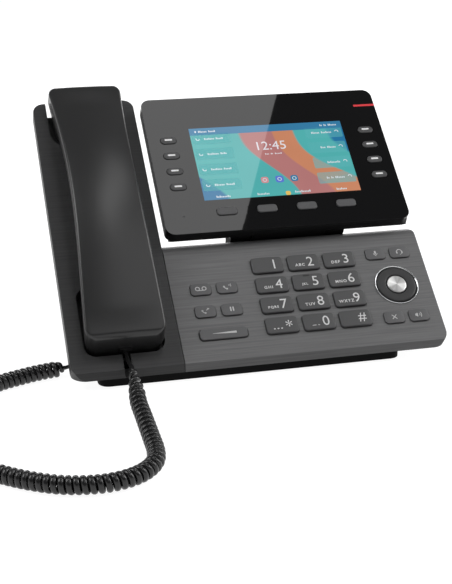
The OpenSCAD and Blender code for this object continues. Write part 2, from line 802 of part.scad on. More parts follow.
module nav_ring() {
    outer = nav_r - nav_trim_w - nav_tilt_room;
    inner = nav_ok_r + nav_tilt_room;
    flange_top = -skin - 0.9;
    color(key_grey) on_slope() translate([nav_x, nav_s, 0]) rotate_extrude($fn = 96)
        polygon([[inner, fulcrum_w + 0.05], [nav_r - 0.2, fulcrum_w + 0.05],
            [nav_r - 0.2, flange_top], [outer, flange_top], [outer, 0.5], [outer - 1.2, 1],
            [inner + 1, 0.9], [inner, 0.5]]);
}

module nav_ok() {
    color(steel) on_slope() translate([nav_x, nav_s, 0]) {
        rotate_extrude($fn = 96) polygon([[0, key_foot], [3, key_foot], [3, -2], [nav_ok_r, -2],
            [nav_ok_r, 1], [nav_ok_r - 0.6, 1.5], [0, 1.2]]);
    }
}

// Rocking washer: its lower ridge lets the pad tip up and down, its upper one left and right
module nav_fulcrum() {
    inner = nav_ok_r + 0.8;
    outer = nav_r - 2.2;
    color(black) on_slope() translate([nav_x, nav_s, 0]) {
        translate([0, 0, rock_foot + 1.2]) difference() {
            cylinder(h = 0.8, r = outer, $fn = 64);
            translate([0, 0, -1]) cylinder(h = 3, r = inner, $fn = 64);
        }
        for (side = [-1, 1]) {
            translate([side * (inner + outer) / 2 - 2, 0, rock_foot + 1]) rotate([0, 90, 0])
                cylinder(h = 4, r = 1);
            translate([0, side * (inner + outer) / 2 - 2, fulcrum_w - 1]) rotate([-90, 0, 0])
                cylinder(h = 4, r = 1);
        }
    }
}

// ---- Handset ----

function bump(u) = sin(180 * pow(u, 1.25));
function arch_at(u) = pow(max(0, sin(180 * u)), 1.2);
function ramp(d, a, b) = let (k = min(1, max(0, (d - a) / (b - a)))) k * k * (3 - 2 * k);
function end_inset(d, r) = d >= r ? 0 : r - sqrt(r * r - (r - d) * (r - d));
function from_end(d) = min(d, handset_l - d);
function half_width(d) = (handset_w - waist * bump(d / handset_l)) / 2
    - end_inset(d, end_round[0]) - end_inset(handset_l - d, end_round[1]);
function edge_w(d) =
    end_rise + arch * arch_at(d / handset_l) - end_inset(from_end(d), edge_round);
function split_w(d) = split_end + split_arch * arch_at(d / handset_l);
function under_w(d) =
    -cup_depth + (grip_gap + cup_depth) * (ramp(d, cup_mouth[0], cup_mouth[1])
    - ramp(d, cup_ear[0], cup_ear[1])) + 1.5 * arch_at(d / handset_l)
    + end_inset(from_end(d), edge_round);
// The mouth end leans back a little as it rises
function station_s(d, w) = handset_s0 + d + end_lean * (w / end_rise) * max(0, 1 - d / 20);

function back_section(d) = let (h = half_width(d), e = edge_w(d), p = split_w(d)) [
    for (q = [[-h + 0.4, p], [-h, p + 0.4 * (e - p)], [-h, e - 1.2], [-h + 1.6, e + 0.5],
        [-0.62 * h, e + 0.62 * crown], [-0.3 * h, e + 0.9 * crown], [0, e + crown],
        [0.3 * h, e + 0.9 * crown], [0.62 * h, e + 0.62 * crown], [h - 1.6, e + 0.5],
        [h, e - 1.2], [h, p + 0.4 * (e - p)], [h - 0.4, p]])
        [cradle_x + q[0], station_s(d, q[1]), q[1]]];

function face_section(d) = let (h = half_width(d), p = split_w(d), b = under_w(d)) [
    for (q = [[h - 0.4, p], [h - 0.4 - 0.6 * draft, p + 0.6 * (b - p)], [h - draft, b + 2],
        [h - draft - 2, b], [-h + draft + 2, b], [-h + draft, b + 2],
        [-h + 0.4 + 0.6 * draft, p + 0.6 * (b - p)], [-h + 0.4, p]])
        [cradle_x + q[0], station_s(d, q[1]), q[1]]];

// Skins a list of sections, each the same number of points round a closed loop
module loft(sections) {
    n = len(sections[0]);
    m = len(sections);
    polyhedron(points = [for (section = sections, q = section) q],
        faces = concat([[for (i = [0 : n - 1]) i]],
            [for (k = [0 : m - 2], i = [0 : n - 1])
                [k * n + i, (k + 1) * n + i, (k + 1) * n + (i + 1) % n, k * n + (i + 1) % n]],
            [[for (i = [n - 1 : -1 : 0]) (m - 1) * n + i]]), convexity = 6);
}

plug_s = handset_s0 - plug_out;
ear_capsule = [handset_s0 + handset_l - 21, 15, 3];
mouth_capsule = [handset_s0 + 21, 6, 3];

module handset_back() {
    color(black) on_slope() loft([for (d = handset_stations) back_section(d)]);
}

module handset_face() {
    color(black) on_slope() difference() {
        loft([for (d = handset_stations) face_section(d)]);
        for (c = [ear_capsule, mouth_capsule])
            translate([cradle_x, c[0], -cup_depth - 1]) cylinder(h = c[2] + 1, r = c[1] + 0.05);
        // Socket for the cord's plug
        translate([cradle_x - plug_size[0] / 2 - fit_gap, plug_s - 1,
            jack_w - plug_size[2] / 2 - fit_gap])
            cube([plug_size[0] + 2 * fit_gap, plug_size[1] + 1, plug_size[2] + 2 * fit_gap]);
    }
}

module handset_capsules() {
    color([0.2, 0.2, 0.2]) on_slope() for (c = [ear_capsule, mouth_capsule])
        translate([cradle_x, c[0], -cup_depth + 0.4]) difference() {
            cylinder(h = c[2] - 0.4, r = c[1]);
            for (ring = [1 : floor(c[1] / 4)], i = [0 : 6 * ring - 1])
                rotate(i * 60 / ring) translate([3.2 * ring, 0, -1])
                    cylinder(h = 2, r = 0.7, $fn = 16);
        }
}

module handset_plug() {
    color([0.5, 0.5, 0.5]) on_slope()
        translate([cradle_x - plug_size[0] / 2, plug_s, jack_w - plug_size[2] / 2])
            cube(plug_size);
}

// ---- Stand and feet ----

function stand_foot(y) = [front_y + y, foot_h];

module stand() {
    top0 = slope_point(stand_top[0], -tray_h);
    top1 = slope_point(stand_top[1], -tray_h);
    low0 = slope_point(stand_top[0], -tray_h - stand_t);
    low1 = slope_point(stand_top[1], -tray_h - stand_t);
    mid0 = slope_point(stand_top[0], -tray_h - stand_t / 2);
    mid1 = slope_point(stand_top[1], -tray_h - stand_t / 2);
    leg = slope_point(stand_top[1] - 7, -tray_h - stand_t);
    x0 = stand_x - stand_w / 2;
    color(black) {
        along_x(x0, x0 + stand_w) polygon([low0, top0, top1, low1]);
        difference() {
            along_x(x0, x0 + stand_w)
                polygon([leg, top1, stand_foot(stand_reach),
                    stand_foot(stand_reach - stand_leg_t)]);
            // Window for the cables
            translate([x0 + window_in, front_y, window_z[0]])
                cube([stand_w - 2 * window_in, far, window_z[1] - window_z[0]]);
        }
        for (x = [x0, x0 + stand_bay, x0 + stand_w - stand_bay - stand_rib,
            x0 + stand_w - stand_rib])
            along_x(x, x + stand_rib)
                polygon([mid0, mid1, stand_foot(stand_reach - 2),
                    stand_foot(stand_reach - 2 * stand_leg_t)]);
        on_slope() for (x = clip_x, s = clip_s)
            translate([x - clip_size[0] / 2, s - clip_size[1] / 2, -tray_h - stand_t / 2])
                cube([clip_size[0], clip_size[1], stand_t / 2 + wall - fit_gap]);
    }
}

module rubber_feet() {
    color([0.1, 0.1, 0.1]) {
        for (x = [tray_x0 + front_foot_in[0], tray_x1 - front_foot_in[0]])
            pad(x, front_y + front_foot_in[1], front_foot, 0, foot_h, 3);
        for (side = [-1, 1])
            pad(stand_x + side * (stand_w / 2 - rear_foot_in[0]),
                front_y + stand_reach - rear_foot_in[1], rear_foot, 0, foot_h, 3);
    }
}

// ---- Cord ----

function unit(v) = v / norm(v);
function heading(points, i) =
    unit(points[min(i + 1, len(points) - 1)] - points[max(i - 1, 0)]);

// Tube swept along a list of points, with a radius for each
module tube(points, r, sides) {
    up = [0, 0, 1];
    loft([for (i = [0 : len(points) - 1])
        let (t = heading(points, i), a = unit(cross(up, t)), b = cross(t, a))
        [for (k = [0 : sides - 1])
            points[i] + r[i] * (cos(360 * k / sides) * a + sin(360 * k / sides) * b)]]);
}

function coil_radius(i) =
    (coil_start_d + (coil_d - coil_start_d) * min(1, i / coil_opens_over)) / 2;

module cord_coil() {
    color(black)
        tube(coil_points, [for (i = [0 : len(coil_points) - 1]) coil_radius(i)], 10);
}

module handset_lead() {
    color(black) tube(handset_lead_points, [for (p = handset_lead_points) wire_d / 2], 8);
}

module base_lead() {
    color(black) tube(base_lead_points, [for (p = base_lead_points) wire_d / 2], 8);
}

module base_plug() {
    color([0.5, 0.5, 0.5]) on_slope()
        translate([tray_x0 - plug_out - 0.3, base_jack_s - plug_size[0] / 2,
            base_jack_w - plug_size[2] / 2])
            cube([plug_size[1], plug_size[0], plug_size[2]]);
}

// ---- Nodes ----

base_shell();
faceplate();
cradle_cover();
display_bracket();
hinge_pin();
stand();
rubber_feet();
main_board();
loudspeaker();
rear_jacks();
display_housing();
display_glass();
lcd_module();
light_bar();
line_key_node(0);  // line_key_1
line_key_node(1);  // line_key_2
line_key_node(2);  // line_key_3
line_key_node(3);  // line_key_4
line_key_node(4);  // line_key_5
line_key_node(5);  // line_key_6
line_key_node(6);  // line_key_7
line_key_node(7);  // line_key_8
menu_key_node(0);  // menu_key_1
menu_key_node(1);  // menu_key_2
menu_key_node(2);  // menu_key_3
menu_key_node(3);  // menu_key_4
dial_key_node(0, 0);  // dial_key_1
dial_key_node(1, 0);  // dial_key_2
dial_key_node(2, 0);  // dial_key_3
dial_key_node(0, 1);  // dial_key_4
dial_key_node(1, 1);  // dial_key_5
dial_key_node(2, 1);  // dial_key_6
dial_key_node(0, 2);  // dial_key_7
dial_key_node(1, 2);  // dial_key_8
dial_key_node(2, 2);  // dial_key_9
dial_key_node(0, 3);  // dial_key_star
dial_key_node(1, 3);  // dial_key_0
dial_key_node(2, 3);  // dial_key_hash
soft_key_node(soft_left_x - soft_col / 2, soft_s[0]);  // voicemail_key
soft_key_node(soft_left_x + soft_col / 2, soft_s[0]);  // contacts_key
soft_key_node(soft_left_x - soft_col / 2, soft_s[1]);  // transfer_key
soft_key_node(soft_left_x + soft_col / 2, soft_s[1]);  // hold_key
soft_key_node(nav_x - soft_right_half, soft_right_s[0]);  // mute_key
soft_key_node(nav_x + soft_right_half, soft_right_s[0]);  // headset_key
soft_key_node(nav_x - soft_right_half, soft_right_s[1]);  // cancel_key
soft_key_node(nav_x + soft_right_half, soft_right_s[1]);  // speaker_key
volume_rocker();
nav_trim();
nav_ring();
nav_ok();
nav_fulcrum();
hook_switch();
handset_back();
handset_face();
handset_capsules();
handset_plug();
handset_lead();
cord_coil();
base_lead();
base_plug();
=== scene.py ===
"""Desk IP phone: materials, finer pieces, stage and camera around its packed CAD model."""

import math

import bmesh
import bpy
from bpy.props import (
    FloatProperty, FloatVectorProperty, IntProperty, PointerProperty, StringProperty)
from mathutils import Matrix, Vector


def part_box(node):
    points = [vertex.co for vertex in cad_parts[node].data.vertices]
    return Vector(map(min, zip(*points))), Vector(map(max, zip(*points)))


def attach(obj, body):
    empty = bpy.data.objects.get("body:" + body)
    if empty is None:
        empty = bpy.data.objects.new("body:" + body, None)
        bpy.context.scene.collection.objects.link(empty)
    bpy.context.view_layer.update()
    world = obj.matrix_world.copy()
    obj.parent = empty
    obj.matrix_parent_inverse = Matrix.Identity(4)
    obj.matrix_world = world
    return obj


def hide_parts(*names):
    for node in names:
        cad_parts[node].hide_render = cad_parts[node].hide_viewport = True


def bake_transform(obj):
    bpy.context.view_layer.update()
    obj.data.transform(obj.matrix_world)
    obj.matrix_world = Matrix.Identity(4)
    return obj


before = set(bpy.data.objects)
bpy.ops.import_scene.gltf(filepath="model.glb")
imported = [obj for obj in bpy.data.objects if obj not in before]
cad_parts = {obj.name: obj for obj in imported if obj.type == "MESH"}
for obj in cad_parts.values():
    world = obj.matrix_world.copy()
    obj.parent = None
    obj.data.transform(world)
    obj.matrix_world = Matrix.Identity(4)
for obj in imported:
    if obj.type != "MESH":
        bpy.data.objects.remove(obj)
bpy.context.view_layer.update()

bl_info = {
    "name": "Desk IP Phone",
    "version": (1, 0, 0),
    "blender": (4, 5, 0),
    "location": "View3D > Sidebar > Desk Phone",
    "description": "Dresses the desk phone's CAD model and sets up its stage",
    "category": "Object",
}

MM = 0.001

# The keypad slope: across, up the slope and out of it, from the front edge of the keypad
INCLINE = math.radians(37.5)
FRONT_HEIGHT = 12.8 * MM
FRONT_EDGE = (0.0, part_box("cradle_cover")[0].y, FRONT_HEIGHT)
SLOPE = Matrix.Translation(FRONT_EDGE) @ Matrix.Rotation(INCLINE, 4, "X")
SLOPE_INVERSE = SLOPE.inverted()


def slope_box(node):
    """Lowest and highest corner of a CAD node, across, up and out of the slope."""
    points = [SLOPE_INVERSE @ v.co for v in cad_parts[node].data.vertices]
    low = Vector([min(p[i] for p in points) for i in range(3)])
    high = Vector([max(p[i] for p in points) for i in range(3)])
    return low, high


def slope_middle(node):
    """Middle of a CAD node on the slope, at the height of its outer face."""
    low, high = slope_box(node)
    return Vector(((low.x + high.x) / 2, (low.y + high.y) / 2, high.z))


# ---------------------------------------------------------------- settings


class PhoneCaseSettings(bpy.types.PropertyGroup):
    """Colours and edge sizes of the phone's housings."""

    plate_color: FloatVectorProperty(
        name="Keypad plate", description="Colour of the brushed keypad plate",
        subtype="COLOR", size=3, min=0, max=1, default=(0.156, 0.156, 0.158))
    cradle_color: FloatVectorProperty(
        name="Cradle", description="Colour of the brushed handset cradle",
        subtype="COLOR", size=3, min=0, max=1, default=(0.043, 0.043, 0.044))
    shell_color: FloatVectorProperty(
        name="Lower housing", description="Colour of the lower housing and the stand",
        subtype="COLOR", size=3, min=0, max=1, default=(0.0065, 0.0065, 0.0068))
    handset_color: FloatVectorProperty(
        name="Handset", description="Colour of the handset's shells",
        subtype="COLOR", size=3, min=0, max=1, default=(0.020, 0.020, 0.0205))
    edge_radius: FloatProperty(
        name="Edge radius", description="Rounding of the moulded edges",
        subtype="DISTANCE", unit="LENGTH", min=0.0001, max=0.001, default=0.00035)


class PhoneKeySettings(bpy.types.PropertyGroup):
    """Colours and sizes of the keys and their legends."""

    dial_color: FloatVectorProperty(
        name="Dial keys", description="Colour of the dial keys",
        subtype="COLOR", size=3, min=0, max=1, default=(0.066, 0.066, 0.068))
    function_color: FloatVectorProperty(
        name="Function keys", description="Colour of the function keys",
        subtype="COLOR", size=3, min=0, max=1, default=(0.100, 0.100, 0.103))
    legend_color: FloatVectorProperty(
        name="Legends", description="Colour of the printed digits and symbols",
        subtype="COLOR", size=3, min=0, max=1, default=(0.72, 0.72, 0.72))
    dial_edge: FloatProperty(
        name="Dial key edge", description="Rounding of the dial keys' rim",
        subtype="DISTANCE", unit="LENGTH", min=0.0002, max=0.0015, default=0.0007)
    small_edge: FloatProperty(
        name="Small key edge", description="Rounding of the small keys' rim",
        subtype="DISTANCE", unit="LENGTH", min=0.0001, max=0.0008, default=0.0004)
    digit_height: FloatProperty(
        name="Digit height", description="Height of the printed digits",
        subtype="DISTANCE", unit="LENGTH", min=0.003, max=0.009, default=0.0071)
    letter_height: FloatProperty(
        name="Letter height", description="Height of the printed letters",
        subtype="DISTANCE", unit="LENGTH", min=0.001, max=0.004, default=0.0022)


class PhoneScreenSettings(bpy.types.PropertyGroup):
    """Colours and brightness of the lit picture."""

    brightness: FloatProperty(
        name="Brightness", description="Strength of the lit picture",
        min=0, max=3, default=1.0)
    clock: StringProperty(
        name="Clock", description="Time that the picture shows", default="12:45")
    blue: FloatVectorProperty(
        name="Blue", description="Deep colour of the picture",
        subtype="COLOR", size=3, min=0, max=1, default=(0.015, 0.165, 0.340))
    teal: FloatVectorProperty(
        name="Teal", description="Main colour of the picture",
        subtype="COLOR", size=3, min=0, max=1, default=(0.075, 0.405, 0.400))
    coral: FloatVectorProperty(
        name="Coral", description="Warm colour of the picture",
        subtype="COLOR", size=3, min=0, max=1, default=(0.430, 0.175, 0.170))
    orange: FloatVectorProperty(
        name="Orange", description="Bright colour of the picture",
        subtype="COLOR", size=3, min=0, max=1, default=(0.560, 0.225, 0.120))


class PhoneCordSettings(bpy.types.PropertyGroup):
    """Sizes of the curly handset cord."""

    coil_diameter: FloatProperty(
        name="Coil diameter", description="Outer diameter of the curly cord",
        subtype="DISTANCE", unit="LENGTH", min=0.008, max=0.012, default=0.0106)
    wire_width: FloatProperty(
        name="Wire width", description="Width of the wire along the coil",
        subtype="DISTANCE", unit="LENGTH", min=0.002, max=0.004, default=0.0036)
    wire_height: FloatProperty(
        name="Wire height", description="Thickness of the wire, and of its straight ends",
        subtype="DISTANCE", unit="LENGTH", min=0.002, max=0.004, default=0.0026)
    pitch: FloatProperty(
        name="Pitch", description="Distance from one turn to the next where the coil lies slack",
        subtype="DISTANCE", unit="LENGTH", min=0.003, max=0.006, default=0.0039)
    stretched_pitch: FloatProperty(
        name="Stretched pitch", description="Distance between turns where the coil hangs",
        subtype="DISTANCE", unit="LENGTH", min=0.003, max=0.009, default=0.0058)
    points_per_turn: IntProperty(
        name="Points per turn", description="How finely each turn is drawn",
        min=12, max=40, default=18)


class PhoneStageSettings(bpy.types.PropertyGroup):
    """Camera, light and floor."""

    lens: FloatProperty(
        name="Lens", description="Focal length of the camera in millimetres",
        min=20, max=200, default=77.05)
    heading: FloatProperty(
        name="Heading", description="How far the camera looks to the right of straight ahead",
        subtype="ANGLE", unit="ROTATION", default=math.radians(13.904))
    tilt: FloatProperty(
        name="Tilt", description="How far the camera looks down",
        subtype="ANGLE", unit="ROTATION", default=math.radians(20.10))
    ambient: FloatProperty(
        name="Ambient light", description="Strength of the even light around the object",
        min=0, max=2, default=0.18)
    ceiling: FloatProperty(
        name="Ceiling", description="How bright the room above looks in a reflection",
        min=0, max=2, default=0.12)
    keys: FloatProperty(
        name="Light level", description="Strength of the tilted softboxes together",
        min=0, max=4, default=1.06)


# ---------------------------------------------------------------- shader helpers


class Signal:
    """A number made by shader nodes. Arithmetic on it adds Math nodes."""

    def __init__(self, nodes, socket):
        self.nodes = nodes
        self.socket = socket

    def _math(self, operation, *values):
        made = self.nodes.node("ShaderNodeMath", {"operation": operation}, *values)
        return Signal(self.nodes, made.outputs[0])

    def __add__(self, other):
        return self._math("ADD", self, other)

    __radd__ = __add__

    def __sub__(self, other):
        return self._math("SUBTRACT", self, other)

    def __rsub__(self, other):
        return self._math("SUBTRACT", other, self)

    def __mul__(self, other):
        return self._math("MULTIPLY", self, other)

    __rmul__ = __mul__

    def __truediv__(self, other):
        return self._math("DIVIDE", self, other)

    def larger(self, other):
        return self._math("MAXIMUM", self, other)

    def sine(self):
        return self._math("SINE", self)

    def power(self, other):
        return self._math("POWER", self, other)

    def root(self):
        return self._math("SQRT", self)

    def turn(self, other):
        """Angle of the direction that goes this far up and the other number across."""
        return self._math("ARCTAN2", self, other)

    def clamped(self):
        """Kept between 0 and 1."""
        made = self.nodes.node("ShaderNodeClamp", {}, self)
        return Signal(self.nodes, made.outputs[0])


class Nodes:
    """A node tree, and the ways that this file adds to it."""

    def __init__(self, tree):
        self.tree = tree
        self.tree.nodes.clear()

    def node(self, kind, settings, *values, **named):
        """Adds a node, sets its settings, then fills its sockets with values or links."""
        made = self.tree.nodes.new(kind)
        for key, value in settings.items():
            if key == "stops":
                self._stops(made.color_ramp, value)
            else:
                setattr(made, key, value)
        for place, value in [*enumerate(values), *named.items()]:
            socket = made.inputs[place.replace("_", " ") if isinstance(place, str) else place]
            self.fill(socket, value)
        return made

    def _stops(self, ramp, stops):
        """Gives a colour ramp its stops."""
        while len(ramp.elements) > 1:
            ramp.elements.remove(ramp.elements[-1])
        for index, (position, color) in enumerate(stops):
            element = ramp.elements[0] if index == 0 else ramp.elements.new(position)
            element.position = position
            element.color = (*color, 1.0) if len(color) == 3 else color

    def fill(self, socket, value):
        """Links a socket to what makes its value, or sets the value on it."""
        if isinstance(value, Signal):
            self.tree.links.new(value.socket, socket)
        elif isinstance(value, bpy.types.NodeSocket):
            self.tree.links.new(value, socket)
        elif isinstance(value, (int, float)) or not hasattr(socket, "default_value"):
            socket.default_value = value
        else:
            wanted = len(socket.default_value)
            socket.default_value = (*value, 1.0)[:wanted] if len(value) < wanted else value

    def signal(self, kind, settings, output, *values, **named):
        """A number that a node gives."""
        made = self.node(kind, settings, *values, **named)
        return Signal(self, made.outputs[output])

    def split(self, vector):
        """The three numbers of a vector."""
        made = self.node("ShaderNodeSeparateXYZ", {}, vector)
        return [Signal(self, made.outputs[i]) for i in range(3)]

    def seen(self):
        """1 for rays that go straight to the eye or through glass, and the ray's gloss flag."""
        rays = self.node("ShaderNodeLightPath", {})
        camera = Signal(self, rays.outputs["Is Camera Ray"])
        through = Signal(self, rays.outputs["Is Transmission Ray"])
        return camera.larger(through), Signal(self, rays.outputs["Is Glossy Ray"])


class Finish(Nodes):
    """One material: a Principled shader and the nodes that feed it."""

    def __init__(self, name):
        self.material = bpy.data.materials.new(name)
        self.material.use_nodes = True
        super().__init__(self.material.node_tree)
        self.output = self.node("ShaderNodeOutputMaterial", {})
        self.shader = self.node("ShaderNodeBsdfPrincipled", {})
        self.tree.links.new(self.shader.outputs["BSDF"], self.output.inputs["Surface"])

    def set(self, **named):
        """Fills sockets of the Principled shader."""
        for name, value in named.items():
            self.fill(self.shader.inputs[name.replace("_", " ")], value)
        return self

    def coordinates(self):
        """Object coordinates, in metres."""
        return self.node("ShaderNodeTexCoord", {}).outputs["Object"]

    def scaled(self, vector, scale):
        """Coordinates multiplied along each axis."""
        made = self.node("ShaderNodeMapping", {"vector_type": "POINT"}, Vector=vector, Scale=scale)
        return made.outputs["Vector"]

    def slope_coordinates(self, middle=(0, 0, 0)):
        """Object coordinates across, up and out of the slope, from a point on it."""
        place = SLOPE @ Vector(middle)
        made = self.node("ShaderNodeMapping", {"vector_type": "TEXTURE"},
                         Vector=self.coordinates(), Location=tuple(place),
                         Rotation=(INCLINE, 0, 0))
        return made.outputs["Vector"]

    def noise(self, vector, scale, detail=2.0, roughness=0.5):
        """Soft noise from 0 to 1."""
        return self.signal("ShaderNodeTexNoise", {"noise_dimensions": "3D"}, "Fac",
                           Vector=vector, Scale=scale, Detail=detail, Roughness=roughness)

    def shade(self, color, amount):
        """A colour times a number that varies."""
        made = self.node("ShaderNodeVectorMath", {"operation": "SCALE"})
        self.fill(made.inputs[0], color)
        self.fill(made.inputs["Scale"], amount)
        return made.outputs[0]

    def bump(self, height, strength, distance):
        """Raises the surface by a pattern of the given depth."""
        made = self.node("ShaderNodeBump", {}, Strength=strength, Distance=distance, Height=height)
        self.set(Normal=made.outputs["Normal"])
        return self


FINISHES = {}
FINISH_MAKERS = {}

# How close the brushed lines lie, across the slope, up it and out of it
FINE_LINES = (26, 2600, 2600)
BROAD_LINES = (16, 760, 760)
# Rings on the centre button for each metre, and the way that the bright wedges of painted highlight
# on it face
RING_DENSITY = 9000.0
PAINTED_HIGHLIGHT_TURN = 2.6
# The display's glass, and the dark surface that its picture shines from
GLASS_ROUGHNESS = 0.02
GLASS_SPECULAR = 0.42
GLASS_BLACK = (0.0045, 0.0045, 0.005)
UNLIT_BLACK = (0.004, 0.004, 0.004)
# Direction in which the picture's ribbons follow each other, and the length of one set of them
RIBBON_SLANT = (0.86, 0.52)
RIBBON_SPAN = 0.14


def finish(name):
    """The named material, made once."""
    if name not in FINISHES:
        FINISHES[name] = FINISH_MAKERS[name](name)
    return FINISHES[name]


def moulded(color, roughness, grain=0.00006, variation=0.10, grain_scale=5200.0, specular=0.5):
    """Maker of a moulded plastic: fine grain in the surface, faint cloudiness in the colour."""

    def make(name):
        made = Finish(name)
        flat = made.coordinates()
        cloud = made.noise(flat, 60.0, detail=3.0)
        speck = made.noise(flat, grain_scale, detail=2.0)
        made.set(
            Base_Color=made.shade(color, 1.0 - variation / 2 + variation * cloud),
            Roughness=roughness - 0.04 + 0.08 * speck, Specular_IOR_Level=specular)
        made.bump(speck, 0.35, grain)
        return made.material

    return make


def hairline(color, roughness, contrast, metallic, specular=0.5):
    """Maker of a brushed finish: long fine lines across the slope."""

    def make(name):
        made = Finish(name)
        flat = made.slope_coordinates()
        fine = made.noise(made.scaled(flat, FINE_LINES), 1.0, detail=3.0, roughness=0.7)
        broad = made.noise(made.scaled(flat, BROAD_LINES), 1.0, detail=2.0)
        cloud = made.noise(flat, 14.0, detail=2.0)
        lines = 0.5 * fine + 0.5 * broad
        level = 1.0 + contrast * (lines - 0.5) + 0.10 * (cloud - 0.5)
        made.set(
            Base_Color=made.shade(color, level), Metallic=metallic,
            Specular_IOR_Level=specular, Roughness=roughness + 0.16 * (fine - 0.5))
        made.bump(lines, 0.22, 0.00004)
        return made.material

    return make


def glossy(color, roughness, shining=0.0):
    """Maker of a smooth plastic with the faintest unevenness, which may shine a little."""

    def make(name):
        made = Finish(name)
        wave = made.noise(made.coordinates(), 120.0, detail=2.0)
        made.set(Base_Color=made.shade(color, 0.94 + 0.12 * wave),
                 Roughness=roughness + 0.03 * (wave - 0.5))
        if shining:
            made.set(Emission_Color=color, Emission_Strength=shining)
        return made.material

    return make


def polished(color, roughness):
    """Maker of a bright metal."""

    def make(name):
        made = Finish(name)
        wave = made.noise(made.coordinates(), 300.0, detail=2.0)
        made.set(Base_Color=color, Metallic=1.0, Roughness=roughness + 0.05 * (wave - 0.5))
        return made.material

    return make


def spun_metal(name):
    """Turned face of the centre button: rings round its middle, and bright conical wedges of
    painted highlight in its colour.
    """
    made = Finish(name)
    across, along, _ = made.split(made.slope_coordinates(slope_middle("nav_ok")))
    angle = along.turn(across)
    radius = (across * across + along * along).root()
    wheel = made.node("ShaderNodeCombineXYZ", {}, radius * RING_DENSITY).outputs[0]
    rings = made.noise(wheel, 1.0, detail=2.0)
    # Painted highlight: the colour is lightened in wedges round the middle, and by a faint ripple
    # with the angle, where a spun face would catch the light
    painted_highlight = 0.5 + 0.5 * (2.0 * angle + PAINTED_HIGHLIGHT_TURN).sine()
    fine = (9.0 * angle + 3.0).sine()
    level = 0.42 + 0.48 * painted_highlight.power(1.6) + 0.04 * fine + 0.08 * (rings - 0.5)
    made.set(Base_Color=made.shade((1.0, 1.0, 0.99), level), Metallic=0.75,
             Roughness=0.34 + 0.10 * rings)
    made.bump(rings, 0.25, 0.00005)
    return made.material


def printed(color):
    """Maker of a printed legend, worn a little."""

    def make(name):
        made = Finish(name)
        wear = made.noise(made.coordinates(), 900.0, detail=2.0)
        made.set(Base_Color=made.shade(color, 0.92 + 0.12 * wear), Roughness=0.55)
        return made.material

    return make


def glow(made, color, strength):
    """Makes a finish shine through the display's glossy front."""
    made.set(Base_Color=UNLIT_BLACK, Roughness=GLASS_ROUGHNESS, Specular_IOR_Level=GLASS_SPECULAR,
             Emission_Color=color, Emission_Strength=strength)
    return made


def lit(color, strength, cover=1.0):
    """Maker of a lit patch on the display, which may let the picture through."""

    def make(name):
        made = Finish(name)
        flow = made.noise(made.coordinates(), 40.0, detail=1.0)
        glow(made, made.shade(color, 0.96 + 0.08 * flow), strength).set(Alpha=cover)
        return made.material

    return make


def picture(name):
    """Lit picture: wavy slanting ribbons of colour."""
    screen = bpy.context.scene.phone_screen
    made = Finish(name)
    across, along, _ = made.split(made.slope_coordinates(SCREEN_MIDDLE))
    swell = 0.0045 * (along * 95.0 + 0.8).sine() + 0.0035 * (across * 78.0 - 0.6).sine()
    ribbon = (RIBBON_SLANT[0] * across + RIBBON_SLANT[1] * along + swell) / RIBBON_SPAN + 0.5
    blue, teal = tuple(screen.blue), tuple(screen.teal)
    coral, orange = tuple(screen.coral), tuple(screen.orange)
    stops = [(0.13, blue), (0.14, teal), (0.44, teal), (0.45, coral), (0.60, coral),
             (0.61, orange), (0.72, orange), (0.73, teal), (0.86, teal), (0.87, blue)]
    color = made.node("ShaderNodeValToRGB", {"stops": stops}, ribbon).outputs["Color"]
    shine = 0.92 + 0.16 * made.noise(made.coordinates(), 30.0, detail=1.0)
    return glow(made, made.shade(color, shine), screen.brightness).material


def black_glass(name):
    """Lens of the display: smooth black glass."""
    made = Finish(name)
    wave = made.noise(made.coordinates(), 20.0, detail=1.0)
    made.set(Base_Color=made.shade(GLASS_BLACK, 0.9 + 0.2 * wave), Roughness=GLASS_ROUGHNESS,
             Specular_IOR_Level=GLASS_SPECULAR)
    return made.material


